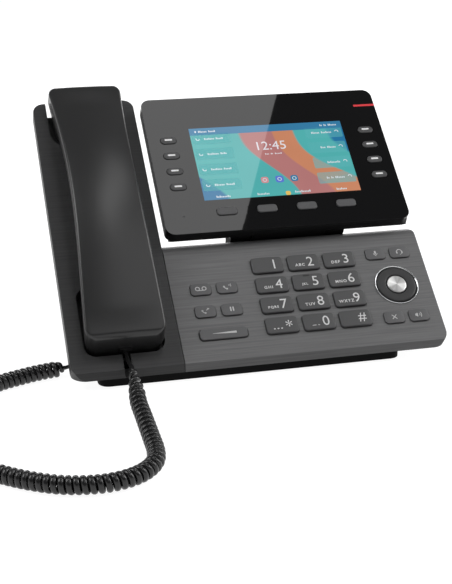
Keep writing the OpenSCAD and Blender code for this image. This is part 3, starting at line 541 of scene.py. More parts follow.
def define_finishes():
    """Names every finish and how it is made, from the settings."""
    case = bpy.context.scene.phone_case
    keys = bpy.context.scene.phone_keys
    shine = bpy.context.scene.phone_screen.brightness
    FINISH_MAKERS.update({
        "brushed plate": hairline(tuple(case.plate_color), 0.46, 1.3, 0.15, specular=0.25),
        "brushed cradle": hairline(tuple(case.cradle_color), 0.46, 1.3, 0.10, specular=0.3),
        "matt shell": moulded(tuple(case.shell_color), 0.62, specular=0.08),
        "satin shell": moulded(tuple(case.shell_color), 0.42, specular=0.22),
        "satin handset": moulded(tuple(case.handset_color), 0.31, grain=0.00003),
        "dial key plastic": moulded(tuple(keys.dial_color), 0.48),
        "function key plastic": moulded(tuple(keys.function_color), 0.48),
        "side key plastic": moulded((0.056, 0.056, 0.058), 0.45),
        "menu key plastic": moulded((0.078, 0.078, 0.081), 0.48),
        "navigation ring plastic": moulded((0.040, 0.040, 0.041), 0.42, specular=0.3),
        "foot rubber": moulded((0.022, 0.022, 0.022), 0.85, grain=0.0001),
        "inner plastic": moulded((0.012, 0.012, 0.012), 0.6, specular=0.2),
        "cord plastic": glossy((0.011, 0.011, 0.0115), 0.24),
        "plug plastic": glossy((0.012, 0.012, 0.0125), 0.3),
        "red lens": glossy((0.66, 0.040, 0.050), 0.3, shining=0.25),
        "display glass": black_glass,
        "screen edge": glossy((0.01, 0.03, 0.04), 0.2),
        "circuit board": glossy((0.015, 0.12, 0.06), 0.4),
        "chrome": polished((0.62, 0.63, 0.64), 0.16),
        "pin steel": polished((0.55, 0.55, 0.57), 0.3),
        "spun silver": spun_metal,
        "key print": printed(tuple(keys.legend_color)),
        "soft print": printed((0.56, 0.56, 0.56)),
        "key mark": printed((0.90, 0.90, 0.90)),
        "touch bar": printed((0.020, 0.020, 0.020)),
        "picture": picture,
        "status strip": lit((0.030, 0.185, 0.350), shine),
        "label field": lit((0.10, 0.42, 0.43), shine, 0.45),
        "screen white": lit((0.62, 0.70, 0.74), shine),
        "screen clock": lit((0.74, 0.72, 0.76), shine),
        "screen violet": lit((0.10, 0.18, 0.60), shine),
        "screen gold": lit((0.74, 0.50, 0.12), shine),
        "screen rose": lit((0.60, 0.26, 0.28), shine),
    })


# ---------------------------------------------------------------- mesh helpers

# Points of a CAD mesh closer than this are one, and faces flatter than this are one face
SAME_POINT = 0.000002
FLAT_ANGLE = math.radians(0.5)
# Edges of a CAD node sharper than this are rounded, and finer ones are shaded smooth
SHARP_ANGLE = math.radians(35)


def add_piece(name, mesh, material, body, replaced=()):
    """Puts a finished mesh in the scene, on its body, standing for the nodes it replaces."""
    obj = bpy.data.objects.new(name, mesh)
    bpy.context.scene.collection.objects.link(obj)
    mesh.materials.clear()
    mesh.materials.append(finish(material))
    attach(obj, body)
    if replaced:
        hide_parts(*replaced)
    return obj


def even_normals(obj):
    """Large faces keep their own normals, and the light turns only over the rounded edges."""
    weigh = obj.modifiers.new("even normals", "WEIGHTED_NORMAL")
    weigh.mode = "FACE_AREA"
    weigh.weight = 50
    weigh.keep_sharp = True


def to_mesh(name, bm, matrix=None, smooth_angle=None):
    """Turns a bmesh into a mesh, placed by matrix and shaded smooth below smooth_angle."""
    if matrix is not None:
        bm.transform(matrix)
    mesh = bpy.data.meshes.new(name)
    bm.to_mesh(mesh)
    bm.free()
    if smooth_angle is not None:
        mesh.shade_smooth()
        mesh.set_sharp_from_angle(angle=smooth_angle)
    return mesh


def raised(bm, faces, thickness):
    """Extrudes faces straight up."""
    made = bmesh.ops.extrude_face_region(bm, geom=faces)
    top = [g for g in made["geom"] if isinstance(g, bmesh.types.BMVert)]
    bmesh.ops.translate(bm, vec=(0, 0, thickness), verts=top)
    return top


def rounded_plate(bm, centre, size, radius, thickness, segments=5):
    """Adds a flat plate with round corners and returns its vertices."""
    verts = bmesh.ops.create_grid(bm, x_segments=1, y_segments=1, size=0.5)["verts"]
    bmesh.ops.scale(bm, vec=(size[0], size[1], 1), verts=verts)
    bmesh.ops.translate(bm, vec=centre, verts=verts)
    faces = list({f for v in verts for f in v.link_faces})
    if radius > 0:
        made = bmesh.ops.bevel(bm, geom=verts, offset=min(radius, min(size) * 0.49),
                               offset_type="OFFSET", affect="VERTICES", segments=segments,
                               profile=0.5, material=-1)
        faces = list({f for v in made["verts"] for f in v.link_faces})
    low = {v for f in faces for v in f.verts}
    return [*low, *raised(bm, faces, thickness)]


def disc(bm, centre, radius, thickness, segments):
    """Adds a flat disc."""
    made = bmesh.ops.create_circle(bm, cap_ends=True, segments=segments, radius=radius)
    verts = made["verts"]
    faces = list({f for v in verts for f in v.link_faces})
    bmesh.ops.translate(bm, vec=centre, verts=verts)
    raised(bm, faces, thickness)


def arc_band(bm, centre, radius, width, start, sweep, thickness, steps):
    """Adds part of a flat ring: a small cross-section spun round centre, angles in degrees."""
    turn = Matrix.Rotation(math.radians(start), 4, "Z")
    verts = bmesh.ops.create_grid(bm, x_segments=1, y_segments=1, size=0.5)["verts"]
    for vert in verts:
        vert.co = Vector(centre) + turn @ Vector(
            (radius + width * vert.co.x, 0, thickness * (vert.co.y + 0.5)))
    faces = list({f for v in verts for f in v.link_faces})
    full = abs(sweep) >= 359.9
    geom = [*faces, *{e for f in faces for e in f.edges}, *verts]
    bmesh.ops.spin(bm, geom=geom, cent=centre, axis=(0, 0, 1), angle=math.radians(sweep),
                   steps=steps * (3 if full else 1), use_merge=full, use_duplicate=False)


def stroke(bm, start, end, width, thickness):
    """Adds a straight bar with round ends between two points."""
    start, end = Vector((*start, 0)), Vector((*end, 0))
    along = end - start
    verts = rounded_plate(bm, (0, 0, 0), (along.length + width, width), width * 0.49, thickness, 3)
    bmesh.ops.rotate(bm, verts=verts, cent=(0, 0, 0),
                     matrix=Matrix.Rotation(math.atan2(along.y, along.x), 3, "Z"))
    bmesh.ops.translate(bm, verts=verts, vec=(start + end) / 2)


def add_text(bm, body, height, middle, thickness, spacing=1.0, weight=0.0):
    """Adds a digit or letters, of a given height, centred on a point."""
    curve = bpy.data.curves.new("legend", "FONT")
    curve.body = body
    curve.size = height * 1.4
    curve.space_character = spacing
    curve.resolution_u = 4
    curve.extrude = thickness / 2
    curve.offset = height * weight
    holder = bpy.data.objects.new("legend", curve)
    bpy.context.scene.collection.objects.link(holder)
    bpy.context.view_layer.update()
    graph = bpy.context.evaluated_depsgraph_get()
    mesh = bpy.data.meshes.new_from_object(holder.evaluated_get(graph))
    before = set(bm.verts)
    bm.from_mesh(mesh)
    verts = [v for v in bm.verts if v not in before]
    bpy.data.objects.remove(holder)
    bpy.data.curves.remove(curve)
    bpy.data.meshes.remove(mesh)
    low = Vector([min(v.co[i] for v in verts) for i in range(3)])
    high = Vector([max(v.co[i] for v in verts) for i in range(3)])
    grow = height / (high.y - low.y)
    bmesh.ops.translate(bm, vec=-(low + high) / 2, verts=verts)
    bmesh.ops.scale(bm, vec=(grow, grow, 1), verts=verts)
    bmesh.ops.translate(bm, vec=(middle[0], middle[1], thickness / 2), verts=verts)


def softened(name, node, material, body, radius, segments=2, above=None, reshape=None):
    """A copy of a CAD node with its sharp edges rounded, which stands for it.

    Only edges higher than above, out of the slope, are rounded. reshape moves each point first.
    """
    bm = bmesh.new()
    bm.from_mesh(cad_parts[node].data)
    bmesh.ops.remove_doubles(bm, verts=bm.verts, dist=SAME_POINT)
    if reshape:
        for vert in bm.verts:
            vert.co = SLOPE @ reshape(SLOPE_INVERSE @ vert.co)
    bmesh.ops.dissolve_limit(bm, angle_limit=FLAT_ANGLE, verts=bm.verts, edges=bm.edges,
                             use_dissolve_boundaries=False, delimit=set())
    sharp = [e for e in bm.edges
             if len(e.link_faces) == 2 and e.calc_face_angle(0) > SHARP_ANGLE]
    if above is not None:
        sharp = [e for e in sharp if all((SLOPE_INVERSE @ v.co).z > above for v in e.verts)]
    bmesh.ops.bevel(bm, geom=sharp, offset=radius, offset_type="OFFSET", affect="EDGES",
                    segments=segments, profile=0.5, material=-1, clamp_overlap=True,
                    loop_slide=True)
    bmesh.ops.triangulate(bm, faces=[f for f in bm.faces if len(f.verts) > 4])
    mesh = to_mesh(name, bm, smooth_angle=SHARP_ANGLE)
    even_normals(add_piece(name, mesh, material, body, [node]))


# ---------------------------------------------------------------- cord

# The cord's route in millimetres, from the handset's plug to the plug in the lower housing
HANDSET_LEAD = ((-88.2, -81, 20), (-88, -85.5, 17.4), (-87.5, -90, 16), (-87, -94.2, 15.8))
COIL_ROUTE = (
    (-86.8, -97.2, 15), (-86.8, -100.5, 13.7), (-87, -105, 11.3), (-87.2, -111, 8.4),
    (-87.7, -118, 6.3), (-88.3, -126, 5.5), (-88.6, -142, 5.5), (-89, -158, 5.5),
    (-89.4, -174, 5.5), (-89.9, -187, 5.5), (-92.5, -199, 5.5), (-99.5, -208.5, 5.5),
    (-109.5, -214.5, 5.5), (-121.5, -217, 5.5), (-134.5, -216, 5.5), (-147.5, -212, 5.5),
    (-161.5, -204, 5.5), (-175.5, -193, 5.5), (-189.5, -179, 5.5), (-199.5, -161, 5.5),
    (-204, -141, 5.5), (-203, -121, 5.5), (-196, -103, 5.5), (-184, -89, 5.5),
    (-168, -77, 5.5), (-154, -70.5, 5.5), (-140, -65.5, 5.5), (-124, -62, 5.5))
BASE_LEAD = ((-124, -62, 5.5), (-118, -61.6, 7), (-112.5, -62, 10.5), (-107.7, -62.6, 11.9))
# How finely a route is drawn between two of its points, and the straight leads along them
ROUTE_STEPS = 16
LEAD_SPACING = 0.0007
# Shares of its full width that the coil gains, each over a length, and the length it closes in
COIL_OPENING = ((0.45, 0.004), (0.55, 0.022))
COIL_CLOSING = 0.006
# Where along the coil its turns begin to draw together, and the length that takes
SLACK_START = 0.055
SLACK_LENGTH = 0.06


def eased(amount):
    """Smooth step from 0 to 1."""
    amount = max(0.0, min(1.0, amount))
    return amount * amount * (3 - 2 * amount)


def smooth_line(points, spacing):
    """Points at an even spacing along the smooth curve through the given points."""
    points = [Vector(p) * MM for p in points]
    padded = [2 * points[0] - points[1], *points, 2 * points[-1] - points[-2]]
    fine = []
    for a, b, c, d in zip(padded, padded[1:], padded[2:], padded[3:]):
        for step in range(ROUTE_STEPS):
            t = step / ROUTE_STEPS
            fine.append(0.5 * (2 * b + (c - a) * t + (2 * a - 5 * b + 4 * c - d) * t * t
                               + (3 * b - 3 * c + d - a) * t * t * t))
    fine.append(points[-1])
    travelled = [0.0]
    for a, b in zip(fine, fine[1:]):
        travelled.append(travelled[-1] + (b - a).length)
    count = max(2, round(travelled[-1] / spacing))
    result = []
    index = 0
    for k in range(count + 1):
        goal = travelled[-1] * k / count
        while index < len(fine) - 2 and travelled[index + 1] < goal:
            index += 1
        span = travelled[index + 1] - travelled[index]
        result.append(fine[index].lerp(fine[index + 1], (goal - travelled[index]) / span))
    return result


def carried_frames(points, normal=None):
    """A tangent, normal and side at each point, turned as little as possible between points."""
    frames = []
    for i in range(len(points)):
        tangent = (points[min(i + 1, len(points) - 1)] - points[max(i - 1, 0)]).normalized()
        if normal is None:
            normal = tangent.orthogonal()
        normal = (normal - tangent * normal.dot(tangent)).normalized()
        frames.append((tangent, normal, tangent.cross(normal)))
    return frames


def curly_line(cord):
    """Centreline of the wire, which way is out of the coil at each point, and how flat it is."""
    axis = smooth_line(COIL_ROUTE, cord.pitch / cord.points_per_turn)
    step = (axis[1] - axis[0]).length
    length = step * (len(axis) - 1)
    radius = (cord.coil_diameter - cord.wire_height) / 2
    line, outward, flat = [], [], []
    angle = 0.0
    for i, (point, (_, normal, side)) in enumerate(zip(axis, carried_frames(axis))):
        gone = i * step
        opening = sum(share * eased(gone / reach) for share, reach in COIL_OPENING)
        spread = min(opening, eased((length - gone) / COIL_CLOSING))
        out = math.cos(angle) * normal + math.sin(angle) * side
        line.append(point + radius * spread * out)
        outward.append(out)
        flat.append(spread)
        slack = eased((gone - SLACK_START) / SLACK_LENGTH)
        pitch = cord.stretched_pitch + (cord.pitch - cord.stretched_pitch) * slack
        angle += 2 * math.pi * step / pitch
    lead = smooth_line(HANDSET_LEAD, LEAD_SPACING)
    tail = smooth_line(BASE_LEAD, LEAD_SPACING)
    before = [f[1] for f in carried_frames(lead[::-1], outward[0])][::-1]
    after = [f[1] for f in carried_frames(tail, outward[-1])]
    return (lead + line + tail[1:], before + outward + after[1:],
            [0.0] * len(lead) + flat + [0.0] * (len(tail) - 1))


def wire_mesh(name, line, outward, flat, width, height, sides=12):
    """The wire's skin along its centreline: flattened in the coil, round where it runs straight."""
    bm = bmesh.new()
    rings = []
    for i, point in enumerate(line):
        tangent = (line[min(i + 1, len(line) - 1)] - line[max(i - 1, 0)]).normalized()
        along = tangent.cross(outward[i]).normalized()
        out = along.cross(tangent)
        half = (height + (width - height) * flat[i]) / 2
        rings.append([bm.verts.new(
            point + half * math.cos(2 * math.pi * k / sides) * along
            + height / 2 * math.sin(2 * math.pi * k / sides) * out) for k in range(sides)])
    for near, far in zip(rings, rings[1:]):
        for k in range(sides):
            bm.faces.new((near[k], near[(k + 1) % sides], far[(k + 1) % sides], far[k]))
    bm.faces.new(rings[0][::-1])
    bm.faces.new(rings[-1])
    bmesh.ops.recalc_face_normals(bm, faces=bm.faces)
    return to_mesh(name, bm, smooth_angle=math.radians(60))


class PHONE_OT_build_cord(bpy.types.Operator):
    """Winds the curly cord from the handset to the lower housing."""

    bl_idname = "phone.build_cord"
    bl_label = "Curly cord"

    def execute(self, context):
        cord = context.scene.phone_cord
        line, outward, flat = curly_line(cord)
        length = sum((b - a).length for a, b in zip(line, line[1:]))
        mesh = wire_mesh("curly_cord", line, outward, flat, cord.wire_width, cord.wire_height)
        wire = bpy.data.objects.new("curly_cord", mesh)
        context.scene.collection.objects.link(wire)
        mesh.materials.append(finish("cord plastic"))
        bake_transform(wire)
        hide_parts("cord_coil", "handset_lead", "base_lead")
        return {"FINISHED"}


# ---------------------------------------------------------------- stage

# The camera's place, measured from the keypad's front edge on the desk
CAMERA_PLACE = (-0.1999, -0.7001, 0.3221)
# The point that the tilted softboxes face
LAMP_AIM = (0, 0, 0.06)
# Softboxes: name, place, size, radiance, and the turn in degrees of one that hangs level. The
# overhead one is turned so that its edge crosses the display's reflection.
SOFTBOXES = (
    ("overhead softbox", (0.1353, 0.0373, 0.9), (0.20, 0.26), 2.6, -18.2),
    ("right softbox", (1.25, -0.10, 0.95), (0.6, 1.0), 5.2, None),
    ("left softbox", (-0.85, 0.0, 1.05), (0.6, 0.8), 4.2, None),
    ("handset softbox", (0.02, -0.17, 0.95), (0.11, 0.22), 5.0, 0.0),
    ("front softbox", (0.45, -0.80, 1.5), (1.1, 0.7), 1.1, None),
    ("back softbox", (0.30, 1.30, 0.55), (1.3, 0.7), 3.2, None),
)
# A reflection of the surround is white near its horizon: the height where that ends, and the
# height over which it fades
HORIZON = 0.42
HORIZON_FADE = 0.16
# The floor: the colour that lights the object, the colour that takes its shadow, the white that
# the floor adds to the eye, and half its width
FLOOR_COLOR = (0.36, 0.36, 0.36)
FLOOR_SHADOW_COLOR = (0.30, 0.30, 0.30)
FLOOR_WHITE = 0.94
FLOOR_REACH = 3.0


class PHONE_OT_build_stage(bpy.types.Operator):
    """Sets up the camera, the soft lights, the pale floor and the even surround."""

    bl_idname = "phone.build_stage"
    bl_label = "Stage"

    def execute(self, context):
        stage = context.scene.phone_stage
        context.scene.view_settings.view_transform = "Standard"
        self.add_camera(context, stage)
        self.add_world(context, stage)
        self.add_lights(context, stage)
        self.add_floor(context)
        return {"FINISHED"}

    def add_camera(self, context, stage):
        camera = bpy.data.cameras.new("camera")
        camera.lens = stage.lens
        camera.sensor_width = 36
        camera.sensor_fit = "AUTO"
        camera.clip_start = 0.05
        camera.clip_end = 20
        holder = bpy.data.objects.new("camera", camera)
        holder.location = Vector(CAMERA_PLACE) + Vector((0, FRONT_EDGE[1], 0))
        gaze = Vector((math.sin(stage.heading) * math.cos(stage.tilt),
                       math.cos(stage.heading) * math.cos(stage.tilt), -math.sin(stage.tilt)))
        holder.rotation_euler = gaze.to_track_quat("-Z", "Y").to_euler()
        context.scene.collection.objects.link(holder)
        context.scene.camera = holder

    def add_world(self, context, stage):
        """White to the eye and near the horizon, a dim ceiling above, even light on the object."""
        world = bpy.data.worlds.new("studio")
        context.scene.world = world
        world.use_nodes = True
        made = Nodes(world.node_tree)
        output = made.node("ShaderNodeOutputWorld", {})
        seen, gloss = made.seen()
        height = made.split(made.node("ShaderNodeTexCoord", {}).outputs["Generated"])[2]
        horizon = gloss * ((HORIZON - height) / HORIZON_FADE).clamped()
        white = seen.larger(horizon)
        strength = white + (1 - white) * (gloss * stage.ceiling + (1 - gloss) * stage.ambient)
        sky = made.node("ShaderNodeBackground", {}, Color=(1, 1, 1), Strength=strength)
        made.tree.links.new(sky.outputs[0], output.inputs["Surface"])

    def add_lights(self, context, stage):
        """Softboxes. The light level sets the strength of the tilted ones only."""
        for name, place, size, radiance, turn in SOFTBOXES:
            lamp = bpy.data.lights.new(name, "AREA")
            lamp.shape = "RECTANGLE"
            lamp.size, lamp.size_y = size
            level = stage.keys if turn is None else 1
            lamp.energy = radiance * math.pi * size[0] * size[1] * level
            holder = bpy.data.objects.new(name, lamp)
            holder.location = place
            if turn is None:
                gaze = Vector(LAMP_AIM) - Vector(place)
                holder.rotation_euler = gaze.to_track_quat("-Z", "Y").to_euler()
            else:
                holder.rotation_euler = (0, 0, math.radians(turn))
            context.scene.collection.objects.link(holder)

    def add_floor(self, context):
        """White to the eye apart from the object's own shadow."""
        made = Finish("floor white")
        tone = made.noise(made.coordinates(), 3.0)
        made.set(Base_Color=made.shade(FLOOR_COLOR, 0.98 + 0.04 * tone), Roughness=0.9)
        seen, gloss = made.seen()
        pale = made.node("ShaderNodeBsdfDiffuse", {}, Color=FLOOR_SHADOW_COLOR)
        white = made.node("ShaderNodeEmission", {}, Color=(1, 1, 1), Strength=FLOOR_WHITE)
        both = made.node("ShaderNodeAddShader", {}, pale.outputs[0], white.outputs[0])
        clear = made.node("ShaderNodeMixShader", {}, seen.larger(gloss),
                          made.shader.outputs["BSDF"], both.outputs[0])
        made.tree.links.new(clear.outputs[0], made.output.inputs["Surface"])
        bm = bmesh.new()
        bmesh.ops.create_grid(bm, x_segments=8, y_segments=8, size=FLOOR_REACH)
        mesh = to_mesh("floor", bm)
        mesh.materials.append(made.material)
        floor = bpy.data.objects.new("floor", mesh)
        context.scene.collection.objects.link(floor)


# ---------------------------------------------------------------- handset

# Sizes of the handset in millimetres, on the slope. Pairs are for its lower and its upper end.
HANDSET_MIDDLE = slope_middle("handset_back").x / MM
HANDSET_START = 13.7
HANDSET_LENGTH = 205.3
HANDSET_WIDTH = 51.0
WAIST = 7.8
# Height of the shell's edge and of its parting line at the ends, and how far each arches between
END_RISE = 15.0
ARCH = 15.0
SPLIT_END = 3.0
SPLIT_ARCH = 17.0
# Bulge of the top, and the length over which it grows from the bulge that the ends have
CROWN = 2.4
END_CROWN = 0.9
CROWN_LENGTH = 24.0
# Lean of the lower end, and the length that it takes up
END_LEAN = 1.6
LEAN_LENGTH = 20.0
# Rounding of the corners at the parting line and at the top, and of the ends' upper edges
END_ROUND = (6.0, 4.0)
TOP_ROUND = (8.0, 8.0)
EDGE_ROUND = 3.0
# The roll from side to top: its width, how far below the edge it starts, how far above it ends,
# and how far the side draws in at the parting line
ROLL_WIDTH = 1.6
ROLL_DEPTH = 1.2
ROLL_RISE = 0.5
SIDE_DRAFT = 0.4
# Points on half the outline: up the side, round the roll and over the top
SIDE_POINTS, ROLL_POINTS, TOP_POINTS = 5, 7, 12
# Distances of the close stations at each end, and the number of spans between the ends
END_STATIONS = (0, 0.12, 0.35, 0.7, 1.2, 1.8, 2.5, 3.3, 4.2, 5.2, 6.4, 8)
MIDDLE_SPANS = 64


def end_inset(distance, radius):
    """How far a rounded end draws in, at a distance from that end."""
    if distance >= radius:
        return 0.0
    return radius - math.sqrt(radius * radius - (radius - distance) ** 2)


def arch_at(share):
    """Height of the handset's arch, from 0 at its ends to 1 at its middle."""
    return max(0.0, math.sin(math.pi * share)) ** 1.2


def back_profile(d):
    """Outline of the back shell at a distance along it, from left to right parting line."""
    share = d / HANDSET_LENGTH
    waist = WAIST * math.sin(math.pi * share ** 1.25)
    half = ((HANDSET_WIDTH - waist) / 2 - end_inset(d, END_ROUND[0])
            - end_inset(HANDSET_LENGTH - d, END_ROUND[1]))
    edge = (END_RISE + ARCH * arch_at(share)
            - end_inset(min(d, HANDSET_LENGTH - d), EDGE_ROUND))
    split = SPLIT_END + SPLIT_ARCH * arch_at(share)
    pinch = (end_inset(d, TOP_ROUND[0]) - end_inset(d, END_ROUND[0])
             + end_inset(HANDSET_LENGTH - d, TOP_ROUND[1])
             - end_inset(HANDSET_LENGTH - d, END_ROUND[1]))
    top_half = half - pinch
    shoulder = top_half - ROLL_WIDTH
    grown = eased(min(d, HANDSET_LENGTH - d) / CROWN_LENGTH)
    crown = END_CROWN + (CROWN - END_CROWN) * grown
    right = []
    for i in range(SIDE_POINTS):
        t = i / SIDE_POINTS
        right.append((half - pinch * t - SIDE_DRAFT * (1 - t) ** 2,
                      split + (edge - ROLL_DEPTH - split) * t))
    for i in range(ROLL_POINTS):
        t = i / ROLL_POINTS
        keep = 1 - t
        # A cubic curve, whose two middle handles keep it square to the side and fair to the top
        x = (top_half * (keep ** 3 + 3 * keep * keep * t) + (shoulder + 0.9) * 3 * keep * t * t
             + shoulder * t ** 3)
        w = ((edge - ROLL_DEPTH) * keep ** 3 + (edge - 0.25) * 3 * keep * keep * t
             + (edge + 0.33) * 3 * keep * t * t + (edge + ROLL_RISE) * t ** 3)
        right.append((x, w))
    for i in range(TOP_POINTS):
        x = shoulder * (1 - i / TOP_POINTS)
        bulge = (crown - ROLL_RISE) * (1 - (x / shoulder) ** 2)
        right.append((x, edge + ROLL_RISE + bulge))
    left = [(-x, w) for x, w in right]
    return left + [(0.0, edge + crown)] + right[::-1]


def handset_stations():
    """Distances along the handset, close together at both rounded ends."""
    first = END_STATIONS[-1]
    middle = [first + (HANDSET_LENGTH - 2 * first) * i / MIDDLE_SPANS
              for i in range(1, MIDDLE_SPANS)]
    return [*END_STATIONS, *middle, *(HANDSET_LENGTH - d for d in reversed(END_STATIONS))]


class PHONE_OT_build_handset(bpy.types.Operator):
    """Lofts the handset's back shell and rounds the edges of its face shell."""

    bl_idname = "phone.build_handset"
    bl_label = "Handset"

    def execute(self, context):
        stations = handset_stations()
        profiles = [back_profile(d) for d in stations]
        count = len(profiles[0])
        bm = bmesh.new()
        # A grid whose columns go once round the shell, moved to its skin and then closed
        bmesh.ops.create_grid(bm, x_segments=count, y_segments=len(stations) - 1, size=0.5)
        for vert in bm.verts:
            column = round((vert.co.x + 0.5) * count) % count
            row = round((vert.co.y + 0.5) * (len(stations) - 1))
            d = stations[row]
            x, w = profiles[row][column]
            lean = END_LEAN * (w / END_RISE) * max(0.0, 1 - d / LEAN_LENGTH)
            s = HANDSET_START + d + lean
            vert.co = (HANDSET_MIDDLE + x, s, w)
        bmesh.ops.remove_doubles(bm, verts=bm.verts, dist=0.0005)
        bmesh.ops.holes_fill(bm, edges=[e for e in bm.edges if e.is_boundary], sides=0)
        bmesh.ops.recalc_face_normals(bm, faces=bm.faces)
        matrix = SLOPE @ Matrix.Scale(MM, 4)
        mesh = to_mesh("handset_back_shell", bm, matrix, math.radians(40))
        even_normals(add_piece("handset_back_shell", mesh, "satin handset", "handset",
                               ["handset_back"]))
        softened("handset_face_shell", "handset_face", "satin handset", "handset",
                 0.0003)
        return {"FINISHED"}


# ---------------------------------------------------------------- housings

# The foot of the display: how far up its back is reshaped, how tall its front wall stays, and how
# far in from its two ends the corner points lie and are drawn
FOOT_REACH = 3.2 * MM
FOOT_WALL = 0.6 * MM
FOOT_CORNER = 1.4 * MM
FOOT_DRAW = 2.75 * MM
# The microphone's place on the slope, and its size
MICROPHONE_PLACE = (-36.2 * MM, 104.8 * MM, 9.2 * MM)
MICROPHONE_RADIUS = 0.9 * MM
MICROPHONE_DEPTH = 0.6 * MM


class PHONE_OT_finish_case(bpy.types.Operator):
    """Rounds the moulded edges of the housings and gives them their finishes."""

    bl_idname = "phone.finish_case"
    bl_label = "Housings"

    def execute(self, context):
        edge = context.scene.phone_case.edge_radius
        softened("keypad_plate", "faceplate", "brushed plate", "base", edge)
        softened("handset_cradle", "cradle_cover", "brushed cradle", "base",
                 1.5 * edge)
        softened("lower_housing", "base_shell", "matt shell", "base", edge)
        softened("rear_stand", "stand", "matt shell", "base", edge)
        softened("hinge_bracket", "display_bracket", "matt shell", "base", edge)
        softened("display_back", "display_housing", "satin shell", "display",
                 edge, reshape=self.squarer_foot)
        softened("display_lens", "display_glass", "display glass", "display",
                 0.0004)
        self.add_microphone()
        softened("socket_block", "rear_jacks", "inner plastic", "base", edge)
        softened("feet", "rubber_feet", "foot rubber", "base", 0.0002)
        return {"FINISHED"}

    def squarer_foot(self, point):
        """Draws the display's rear chamfer down to a crisp lower edge."""
        low, high = slope_box("display_glass")
        floor_w = slope_box("lcd_module")[0].z
        if point.y - low.y > FOOT_REACH or point.z > floor_w:
            return point
        side = 1 if point.x > (low.x + high.x) / 2 else -1
        edge = high.x if side > 0 else low.x
        if abs(point.x - edge) < FOOT_CORNER:
            point.x -= side * FOOT_DRAW
        if point.y - low.y > FOOT_WALL:
            point.y = low.y + FOOT_WALL
        return point

    def add_microphone(self):
        """The microphone's plug in the glass."""
        bm = bmesh.new()
        disc(bm, MICROPHONE_PLACE, MICROPHONE_RADIUS, MICROPHONE_DEPTH, 24)
        mesh = to_mesh("microphone_plug", bm, SLOPE, math.radians(40))
        add_piece("microphone_plug", mesh, "side key plastic", "display")


# ---------------------------------------------------------------- keys

DIAL_LEGENDS = {
    "dial_key_1": ("1", ""), "dial_key_2": ("2", "ABC"), "dial_key_3": ("3", "DEF"),
    "dial_key_4": ("4", "GHI"), "dial_key_5": ("5", "JKL"), "dial_key_6": ("6", "MNO"),
    "dial_key_7": ("7", "PQRS"), "dial_key_8": ("8", "TUV"), "dial_key_9": ("9", "WXYZ"),
    "dial_key_star": ("*", ""), "dial_key_0": ("0", ""), "dial_key_hash": ("#", ""),
}
# The signs of the function keys, drawn round the key's middle, in millimetres and degrees
SIGNS = {
    "voicemail": (("arc", -1.9, 0.2, 1.15, 0.5, 0, 360, 8), ("arc", 1.9, 0.2, 1.15, 0.5, 0, 360, 8),
                  ("bar", -1.9, -0.95, 1.9, -0.95, 0.5)),
    "contacts": (("receiver", -0.9, -0.4, 1.9), ("dot", 1.3, 1.1, 0.32), ("dot", 2.2, 0.5, 0.32),
                 ("dot", 2.2, 1.6, 0.32)),
    "transfer": (("receiver", -0.9, -0.4, 1.9), ("bar", 0.7, 0.6, 2.2, 1.5, 0.4),
                 ("bar", 2.2, 1.5, 1.3, 1.7, 0.4)),
    "hold": (("bar", -0.75, -1.1, -0.75, 1.1, 0.75), ("bar", 0.75, -1.1, 0.75, 1.1, 0.75)),
    "mute": (("bar", 0, 0.2, 0, 1.3, 1.1), ("arc", 0, 0.1, 1.15, 0.4, 180, 180, 10),
             ("bar", 0, -1.1, 0, -1.7, 0.4)),
    "headset": (("arc", 0, -0.1, 1.6, 0.45, 0, 180, 12), ("bar", -1.6, -0.9, -1.6, -0.1, 0.85),
                ("bar", 1.6, -0.9, 1.6, -0.1, 0.85), ("arc", 0, -0.4, 1.6, 0.3, 270, 70, 8)),
    "cancel": (("bar", -1.2, -1.2, 1.2, 1.2, 0.5), ("bar", -1.2, 1.2, 1.2, -1.2, 0.5)),
    "speaker": (("bar", -1.9, -0.4, -1.9, 0.4, 0.8), ("bar", -1.1, -0.9, -1.1, 0.9, 0.7),
                ("arc", -0.6, 0, 1.1, 0.4, -45, 90, 8), ("arc", -0.6, 0, 2.1, 0.4, -45, 90, 8)),
}
SIGN_SCALE = 1.15
# Thickness of a printed legend, and how deep it sits in its key
INK = 0.00008
SINK = 0.00004
# Heights out of the slope above which a key's edges are rounded, on the keypad and the display
KEY_RIM = -0.001
DISPLAY_KEY_RIM = 0.0095
# Width over which a dial key is crowned, and how much its middle rises
DIAL_CROWN_WIDTH = 0.0214
CROWN_RISE = 0.4 * MM
# Places of a dial key's print from its middle, in metres, and how much smaller some digits are
DIGIT_ACROSS = 0.0045
DIGIT_SHARE = {"*": 0.70, "#": 0.92}
DIGIT_LIFT = {"*": 0.0004}
LETTERS_PLACE = (-0.0029, -0.0022)
SIGNS_UP = -0.0028
STAR_DOTS = (-0.0056, -0.0032, -0.0008)
ZERO_BARS = ((-0.0050, -0.0028), (-0.0012, -0.0004))
SMALL_DOT_SIZE = (0.0012, 0.0008)
SMALL_DOT_CORNER = 0.0003
SMALL_BAR_WIDTH = 0.0004
# The bar that marks the middle dial key by touch: place, size, corners, height and how deep it sits
TOUCH_PLACE = (-0.0008, 0.0044, 0)
TOUCH_SIZE = (0.0046, 0.0009)
TOUCH_CORNER = 0.00044
TOUCH_HEIGHT = 0.0003
TOUCH_SINK = 0.0001
# The bar printed on a line key: place, size and corners
MARK_PLACE = (0, 0.0004, 0)
MARK_SIZE = (0.0052, 0.0014)
MARK_CORNER = 0.0005
# The volume key's wedge: place, size, corners, where it starts and how much of its height it has
# there
WEDGE_PLACE = (0.0006, 0.0002)
WEDGE_SIZE = (0.0156, 0.0016)
WEDGE_CORNER = 0.0003
WEDGE_START = 0.0072
WEDGE_TIP = 0.10


